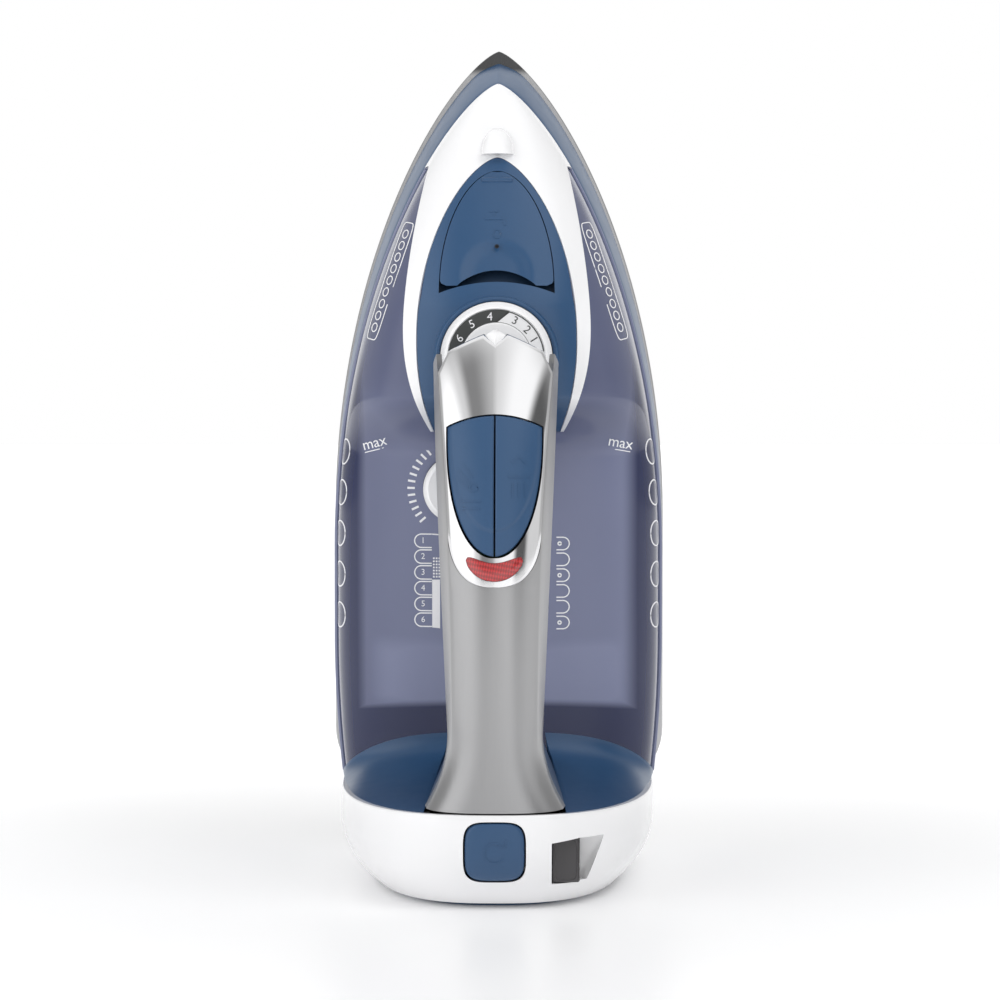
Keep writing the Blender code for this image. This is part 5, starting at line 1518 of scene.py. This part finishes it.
def make_rewind():
    """Rounded square rewind button with its plunger."""
    rings = []
    for share, drop in ((1.0, 9.0), (1.0, 0.75), (0.985, 0.4), (0.955, 0.14), (0.9, 0.0),
                        (0.75, -0.08), (0.5, -0.14),
                        (0.25, -0.16), (0.06, -0.16)):
        plan = rewind_ring(share)
        rings.append(np.stack([plan[:, 0], rewind_height(*plan.T) - drop, plan[:, 1]], -1))
    button = loft("rewind_cap", rings)
    carve(button, block("plunger", (-4.0, 4.0), (127.4, 141.0), (21.5, 25.5)), operation="UNION")
    return settle(button, "rewind", "blue", finish("blue_button"), "rewind_button")


# ---- prints on the tank and raised signs ----
def tank_height(x, z):
    """Height of the tank wall over the plan."""
    lower = 0.5 + 0.9 * np.cos(deck_turn(z, np.abs(x))) ** 2
    return deck_height_at(x, z, lower)


def tab(x, z, reach, half, sign):
    """An open tab outline: a rounded end at x + sign * reach and two arms back to x."""
    turn = np.linspace(-np.pi / 2, np.pi / 2, 15)
    bend = np.stack([x + sign * (reach - half + half * np.cos(turn)), z + half * np.sin(turn)], -1)
    arms = line((x, z - half), tuple(bend[0])), line(tuple(bend[-1]), (x, z + half))
    return np.concatenate([arms[0][:-1], bend, arms[1][1:]])


def make_tank_prints():
    """Generic white guide marks: numbered tabs, a setting bar, fill marks, a dotted arc and pills."""
    thin = line_mm()
    marks = []
    pitch, first = 5.42, 113.7
    for index in range(6):
        z = first - pitch * index
        marks.append(ribbon(tab(-22.4, z, 5.9, 2.3, -1), thin))
        marks.append(ribbon(tab(20.2, z - 0.9, 4.4, 2.15, 1), thin))
        marks.append(letters(str(index + 1), 2.9, -25.4, z + 0.05))
    for index in (0, 2, 5):
        marks.append(ribbon(oval(21.3, first - 0.9 - pitch * index, 0.55, 0.55, steps=12), 0.5,
                            True))
    low, middle, high = first - pitch * 5 - 2.6, first - pitch * 2.45, first - pitch * 1.15
    marks.append(patch([(-22.3, low), (-19.6, low - 0.3), (-19.6, middle), (-22.3, middle)],
                       (6, 10)))
    marks.append(ribbon(line((-22.3, first + 2.3), (-19.4, first + 2.1)), thin))
    for row in np.arange(middle + 0.7, high, 1.05):
        for column in np.arange(-22.0, -19.6, 0.95):
            marks.append(patch([(column, row), (column + 0.6, row), (column + 0.6, row + 0.6),
                                (column, row + 0.6)],
                               (2, 2)))
    for sign, lean in ((-1, 14.0), (1, -10.0)):
        x = 42.3 * sign
        marks.append(letters("max", 5.2, x, 147.1, lean))
        slope = math.tan(math.radians(lean))
        marks.append(ribbon(line((x - 3.4, 144.6 - 3.4 * slope), (x + 3.4, 144.6 + 3.4 * slope)),
                            0.3))
    for angle in np.radians(np.arange(128.0, 226.0, 8.5)):
        across, along = math.cos(angle), math.sin(angle)
        marks.append(ribbon(line((CLEAN_X + 14.6 * across, CLEAN_STATION + 14.6 * along),
                                 (CLEAN_X + 17.2 * across, CLEAN_STATION + 17.2 * along), steps=4),
                            0.75))
    tank_print = raised("tank_marks", over(tank_height), marks, 0.1)
    settle(tank_print, "root", "tank", finish("white_print"))

    pills = []
    for sign in (-1, 1):
        ends = np.array([(30.2 * sign, 222.6), (43.2 * sign, 182.6)])
        along = (ends[1] - ends[0]) / np.hypot(*(ends[1] - ends[0]))
        lean = math.degrees(math.atan2(along[1], along[0])) + 90.0
        middle, half = ends.mean(0), np.hypot(*(ends[1] - ends[0])) / 2
        pills.append(ribbon(oval(*middle, 2.1, half, 7.0, 96, lean), 0.34, True))
        for share in np.linspace(-0.8, 0.8, 9):
            centre = middle + along * share * half
            pills.append(ribbon(oval(*centre, 0.95, 1.5, 2.0, 20, lean), 0.36, True))
    settle(raised("window_marks", over(tank_height), pills, 0.1), "root", "tank",
           finish("white_print"))

    def on_side(sign):
        def place(plan, lift):
            lift = np.broadcast_to(lift, plan.shape[:1])
            turn = np.where(sign > 0, plan[:, 0], np.pi - plan[:, 0])
            return tank_surface(plan[:, 1], turn, -lift)
        return place

    rows = np.linspace(144.0, 87.0, 5)
    for sign, label in ((1, "right"), (-1, "left")):
        loops = []
        for z in rows:
            inner, outer = oval(0.23, z, 0.150, 4.1, 2.2, 40), oval(0.23, z, 0.170, 4.6, 2.2, 40)
            loop = np.stack([inner, outer], 1)
            loops.append(np.concatenate([loop, loop[:1]]))
        settle(raised(f"side_marks_{label}", on_side(sign), loops, 0.1), "root", "tank",
               finish("white_print"))


def make_signs():
    """Raised signs of the body's own plastic: spray, steam, rewind and the fill mark."""
    def cap(x, z):
        return handle_height(x, z) + 0.45

    def lid(x, z):
        return deck_height_at(x, z, 0.05)

    spray = [ribbon(line((-11.6, 139.5), (-7.6, 135.4)), 0.5),
             ribbon(line((-11.8, 136.6), (-8.2, 134.0)), 0.5),
             ribbon(line((-10.0, 141.4), (-6.8, 137.0)), 0.5),
             ribbon(line((-10.6, 129.6), (-4.2, 129.6)), 0.45),
             ribbon(line((-10.2, 127.4), (-4.6, 127.4)), 0.45),
             ribbon(oval(-6.6, 134.0, 1.2, 1.2, steps=20), 0.45, True)]
    steam = [ribbon(line((5.4, 141.6), (7.6, 143.6), (9.8, 141.6)), 0.5),
             ribbon(line((4.4, 137.2), (11.2, 137.2)), 0.45)]
    steam += [ribbon(line((x, 131.0), (x, 135.4)), 0.5) for x in (5.6, 7.6, 9.6)]
    settle(raised("spray_sign", over(cap), spray, 0.16), "spray", "blue", finish("blue_button"))
    settle(raised("steam_sign", over(cap), steam, 0.16), "steam", "blue", finish("blue_button"))
    turn = np.radians(np.linspace(35.0, 325.0, 40))
    cord = [ribbon(np.stack([3.2 * np.cos(turn), REWIND_STATION + 0.2 + 3.2 * np.sin(turn)], -1),
                   0.55),
            ribbon(line((1.0, REWIND_STATION + 2.4), (3.4, REWIND_STATION + 2.0),
                        (3.6, REWIND_STATION + 4.6)), 0.5)]
    sign = raised("rewind_sign", over(lambda x, z: rewind_height(x, z) + 0.14), cord, 0.16)
    settle(sign, "rewind", "blue", finish("blue_button"))
    drop = oval(0.0, 217.6, 1.2, 1.5, 2.0, 24)
    tap = [ribbon(drop, 0.4, True), ribbon(line((-4.2, 223.0), (2.6, 223.0)), 0.9),
           ribbon(line((2.2, 223.2), (2.8, 220.6)), 0.9),
           ribbon(line((-1.0, 223.2), (-1.0, 225.6)), 0.7),
           ribbon(line((-2.6, 225.6), (0.6, 225.6)), 0.7)]
    settle(raised("fill_sign", over(lid), tap, 0.14), "door", "blue", finish("blue_plastic"))
    vent = np.stack([np.zeros((24, 2)) + (0.0, 213.2), oval(0.0, 213.2, 0.75, 0.75, steps=24)], 1)
    vent = np.concatenate([vent, vent[:1]]) + np.array([[[1e-4, 0], [0, 0]]])
    settle(raised("fill_vent", over(lid), [vent], 0.06), "door", "blue", finish("shadow_gap"))


# ---- frame nodes that stay ----
KEPT = {
    "cast_aluminium": ("heater_casting", "steam_chamber_cover"),
    "bare_steel": ("heating_element", "heat_shield", "spray_spring", "steam_spring", "clean_spring",
                   "clean_rod", "reel_axle", "brake_lever_pin", "base_screw_front",
                   "base_screw_left",
                   "base_screw_right"),
    "brass": ("thermostat_blade", "dial_spindle", "steam_valve_seat", "contact_brush_upper",
              "contact_brush_lower"),
    "ceramic": ("thermostat", "thermal_fuse", "terminal_block"),
    "dark_plastic": ("spray_piston", "steam_piston", "reel_spring_case", "brake_lever"),
    "rubber_black": ("fill_neck",),
    "white_gloss": ("spray_pump_barrel", "steam_pump_barrel", "cord_reel"),
    "tank_wall": ("water_tank_base",),
    "board_green": ("lamp_board",),
    "amber_lamp": ("indicator_lamp",),
}


def dress_nodes():
    """Give every frame node that still shows its own finish."""
    for name, nodes in KEPT.items():
        for node in nodes:
            obj = frame["nodes"][node]
            obj.data.materials.clear()
            obj.data.materials.append(finish(name))


# ---- floor, light and camera ----
def make_floor():
    """A wide pale floor with a painted glow that grows towards its edge: white far off, and less of
    it round the iron, which paints shade there.
    """
    radius = np.concatenate([[0.02], np.linspace(0.1, 1.2, 24), np.geomspace(1.4, 14.0, 14)]) / MM
    turn = np.linspace(0.0, 2 * np.pi, 96, endpoint=False)
    x, y = radius[:, None] * np.cos(turn), radius[:, None] * np.sin(turn)
    points = np.stack([x, y, 0 * x], -1).reshape(-1, 3) * MM
    quads = grid_quads(len(radius), len(turn), wrap_columns=True)[:, ::-1]
    floor = make_object("studio_floor", points, quads, [tuple(range(len(turn)))])
    tidy_mesh(floor, outwards=False)
    paint = Paint("studio_white", (0.93, 0.93, 0.94), 0.32)
    cloud = paint.grain(3.0, 2.0)
    paint.feed("Base Color", paint.blend(cloud, (0.925, 0.925, 0.935), (0.95, 0.95, 0.955)))
    paint.feed("Roughness", paint.grain(60.0, 2.0) * 0.1 + 0.3)
    # Painted glow that grows with the distance from the iron: the floor turns white far off and stays
    # darker round the iron as painted shade.
    painted_glow_share = ((paint.place("X") ** 2 + paint.place("Y") ** 2) ** 0.5).rise(0.12, 0.6)
    paint.feed("Emission Color", paint.blend(painted_glow_share, (0.075, 0.075, 0.075), (0.4, 0.4, 0.4)))
    paint.set("Emission Strength", 1.0)
    floor.data.materials.append(paint.material)


def make_world():
    """A white studio all round, with dark flags that give the metal its shading."""
    world = bpy.data.worlds.new("studio")
    world.use_nodes = True
    bpy.context.scene.world = world
    tree = world.node_tree
    air = Nodes(tree)
    spot = air.node("ShaderNodeTexCoord", output="Generated")
    x, y, z = (air.node("ShaderNodeSeparateXYZ", {}, {0: spot}, output=axis) for axis in "XYZ")
    rear = y.rise(-0.15, 0.25)
    front = 1 - rear
    boxes = x.rise(0.0, 0.3) * (1 - x.rise(0.54, 0.64)) * 0.36 + (1 - x.rise(-0.72, -0.54)) * 0.6
    centre = x.rise(-0.54, -0.38) * (1 - x.rise(-0.30, 0.10))
    right = x.rise(0.58, 0.70) * (1 - x.rise(0.84, 0.92))
    level = (z.rise(-0.5, 0.6) * 0.10 + 0.70 + boxes) * (1 - centre * 0.66) * (1 - right * 0.85)
    sides = x.size().rise(0.3, 0.55)
    level = level * front + (1 - sides * 0.5) * rear
    seen = air.node("ShaderNodeLightPath", output="Is Camera Ray")
    level = level * (1 - seen) + seen
    background = tree.nodes["Background"]
    background.inputs["Color"].default_value = (1.0, 1.0, 1.0, 1.0)
    tree.links.new(level.socket, background.inputs["Strength"])


def add_light(name, spot, aim, size, power):
    """A rectangular area light aimed at a point."""
    lamp = bpy.data.lights.new(name, "AREA")
    lamp.shape = "RECTANGLE"
    lamp.size, lamp.size_y = size
    lamp.energy = power
    holder = bpy.data.objects.new(name, lamp)
    holder.visible_glossy = False
    bpy.context.scene.collection.objects.link(holder)
    point_at(holder, spot, aim)


def point_at(obj, spot, aim):
    """Place an object and turn its -Z axis to a point, its Y axis up."""
    spot, aim = np.array(spot, float), np.array(aim, float)
    ahead = (aim - spot) / np.linalg.norm(aim - spot)
    side = np.cross(ahead, (0.0, 0.0, 1.0))
    side = side / np.linalg.norm(side)
    up = np.cross(side, ahead)
    rows = [(side[i], up[i], -ahead[i], spot[i]) for i in range(3)]
    obj.matrix_world = type(obj.matrix_world)([*rows, (0.0, 0.0, 0.0, 1.0)])


CAMERA_SPOT = (0.0107, -0.995, 0.157)
CAMERA_LENS = 106.2


def make_camera():
    """A long lens in front of the iron, level with its middle."""
    lens = bpy.data.cameras.new("studio_camera")
    lens.lens = CAMERA_LENS
    lens.sensor_width = 36.0
    lens.dof.use_dof = False
    lens.clip_end = 100.0
    camera = bpy.data.objects.new("studio_camera", lens)
    bpy.context.scene.collection.objects.link(camera)
    point_at(camera, CAMERA_SPOT, (0.0007, 0.035, 0.127))
    bpy.context.scene.camera = camera
    bpy.context.scene.view_settings.view_transform = "Standard"


# ---- operators and panel ----
class IRON_OT_sole(bpy.types.Operator):
    """Build the soleplate and the skirt above it"""
    bl_idname = "iron.sole"
    bl_label = "Sole and skirt"

    def execute(self, context):
        make_soleplate()
        make_skirt()
        return {"FINISHED"}


class IRON_OT_body(bpy.types.Operator):
    """Build the tank, the nose cap, the centre panel, the fill door and the spray nozzle"""
    bl_idname = "iron.body"
    bl_label = "Body"

    def execute(self, context):
        make_tank()
        make_front_shell()
        make_panel()
        make_door()
        make_barrel()
        make_recess()
        make_nozzle()
        return {"FINISHED"}


class IRON_OT_dial(bpy.types.Operator):
    """Build the temperature dial, its ring, its numbers and its index"""
    bl_idname = "iron.dial"
    bl_label = "Dial"

    def execute(self, context):
        make_collar()
        make_dial()
        make_dial_prints()
        make_pointer()
        return {"FINISHED"}


class IRON_OT_handle(bpy.types.Operator):
    """Build the handle's cover, its chrome front and its lower moulding"""
    bl_idname = "iron.handle"
    bl_label = "Handle"

    def execute(self, context):
        make_cover()
        make_bezel()
        make_handle_body()
        return {"FINISHED"}


class IRON_OT_controls(bpy.types.Operator):
    """Build the spray and steam buttons, the lens and the valve's button"""
    bl_idname = "iron.controls"
    bl_label = "Buttons and lens"

    def execute(self, context):
        make_buttons()
        make_lens()
        make_clean_button()
        return {"FINISHED"}


class IRON_OT_heel(bpy.types.Operator):
    """Build the heel, its scoops, its foot, the cord slot's liner and the rewind button"""
    bl_idname = "iron.heel"
    bl_label = "Heel"

    def execute(self, context):
        make_heel()
        make_outlet()
        make_scoops()
        make_foot()
        make_rewind()
        return {"FINISHED"}


class IRON_OT_marks(bpy.types.Operator):
    """Lay the prints on the tank and the raised signs on the buttons and the door"""
    bl_idname = "iron.marks"
    bl_label = "Marks"

    def execute(self, context):
        make_tank_prints()
        make_signs()
        return {"FINISHED"}


class IRON_OT_inside(bpy.types.Operator):
    """Give the frame's own parts their finishes"""
    bl_idname = "iron.inside"
    bl_label = "Inner parts"

    def execute(self, context):
        dress_nodes()
        return {"FINISHED"}


class IRON_OT_stage(bpy.types.Operator):
    """Set the floor, the light and the camera"""
    bl_idname = "iron.stage"
    bl_label = "Stage"

    def execute(self, context):
        make_camera()
        make_world()
        make_floor()
        add_light("key_softbox", (0.75, -0.55, 1.0), (0.0, 0.0, 0.15), (0.7, 0.7), 3.6)
        add_light("fill_softbox", (-0.9, -0.8, 0.7), (0.0, 0.0, 0.15), (0.9, 0.9), 3.5)
        return {"FINISHED"}


OPERATORS = (IRON_OT_stage, IRON_OT_sole, IRON_OT_body, IRON_OT_dial, IRON_OT_handle,
             IRON_OT_controls, IRON_OT_heel,
             IRON_OT_marks, IRON_OT_inside)


class IRON_PT_panel(bpy.types.Panel):
    """Sizes, colours and the pieces of the iron"""
    bl_idname = "IRON_PT_panel"
    bl_label = "Steam iron"
    bl_space_type = "VIEW_3D"
    bl_region_type = "UI"
    bl_category = "Iron"

    def draw(self, context):
        for group in (context.scene.iron_sizes, context.scene.iron_colours):
            for name in group.bl_rna.properties.keys():
                if name not in ("rna_type", "name"):
                    self.layout.prop(group, name)
        for operator in OPERATORS:
            self.layout.operator(operator.bl_idname)


CLASSES = (IronColours, IronSizes, *OPERATORS, IRON_PT_panel)


def register():
    """Register the classes and hang the properties on the scene."""
    for cls in CLASSES:
        bpy.utils.register_class(cls)
    bpy.types.Scene.iron_colours = bpy.props.PointerProperty(type=IronColours)
    bpy.types.Scene.iron_sizes = bpy.props.PointerProperty(type=IronSizes)


def unregister():
    """Take the properties off the scene and unregister the classes."""
    del bpy.types.Scene.iron_sizes
    del bpy.types.Scene.iron_colours
    for cls in reversed(CLASSES):
        bpy.utils.unregister_class(cls)


def main():
    """Build every piece in order."""
    register()
    for operator in OPERATORS:
        area, name = operator.bl_idname.split(".")
        getattr(getattr(bpy.ops, area), name)()


if __name__ == "__main__":
    main()
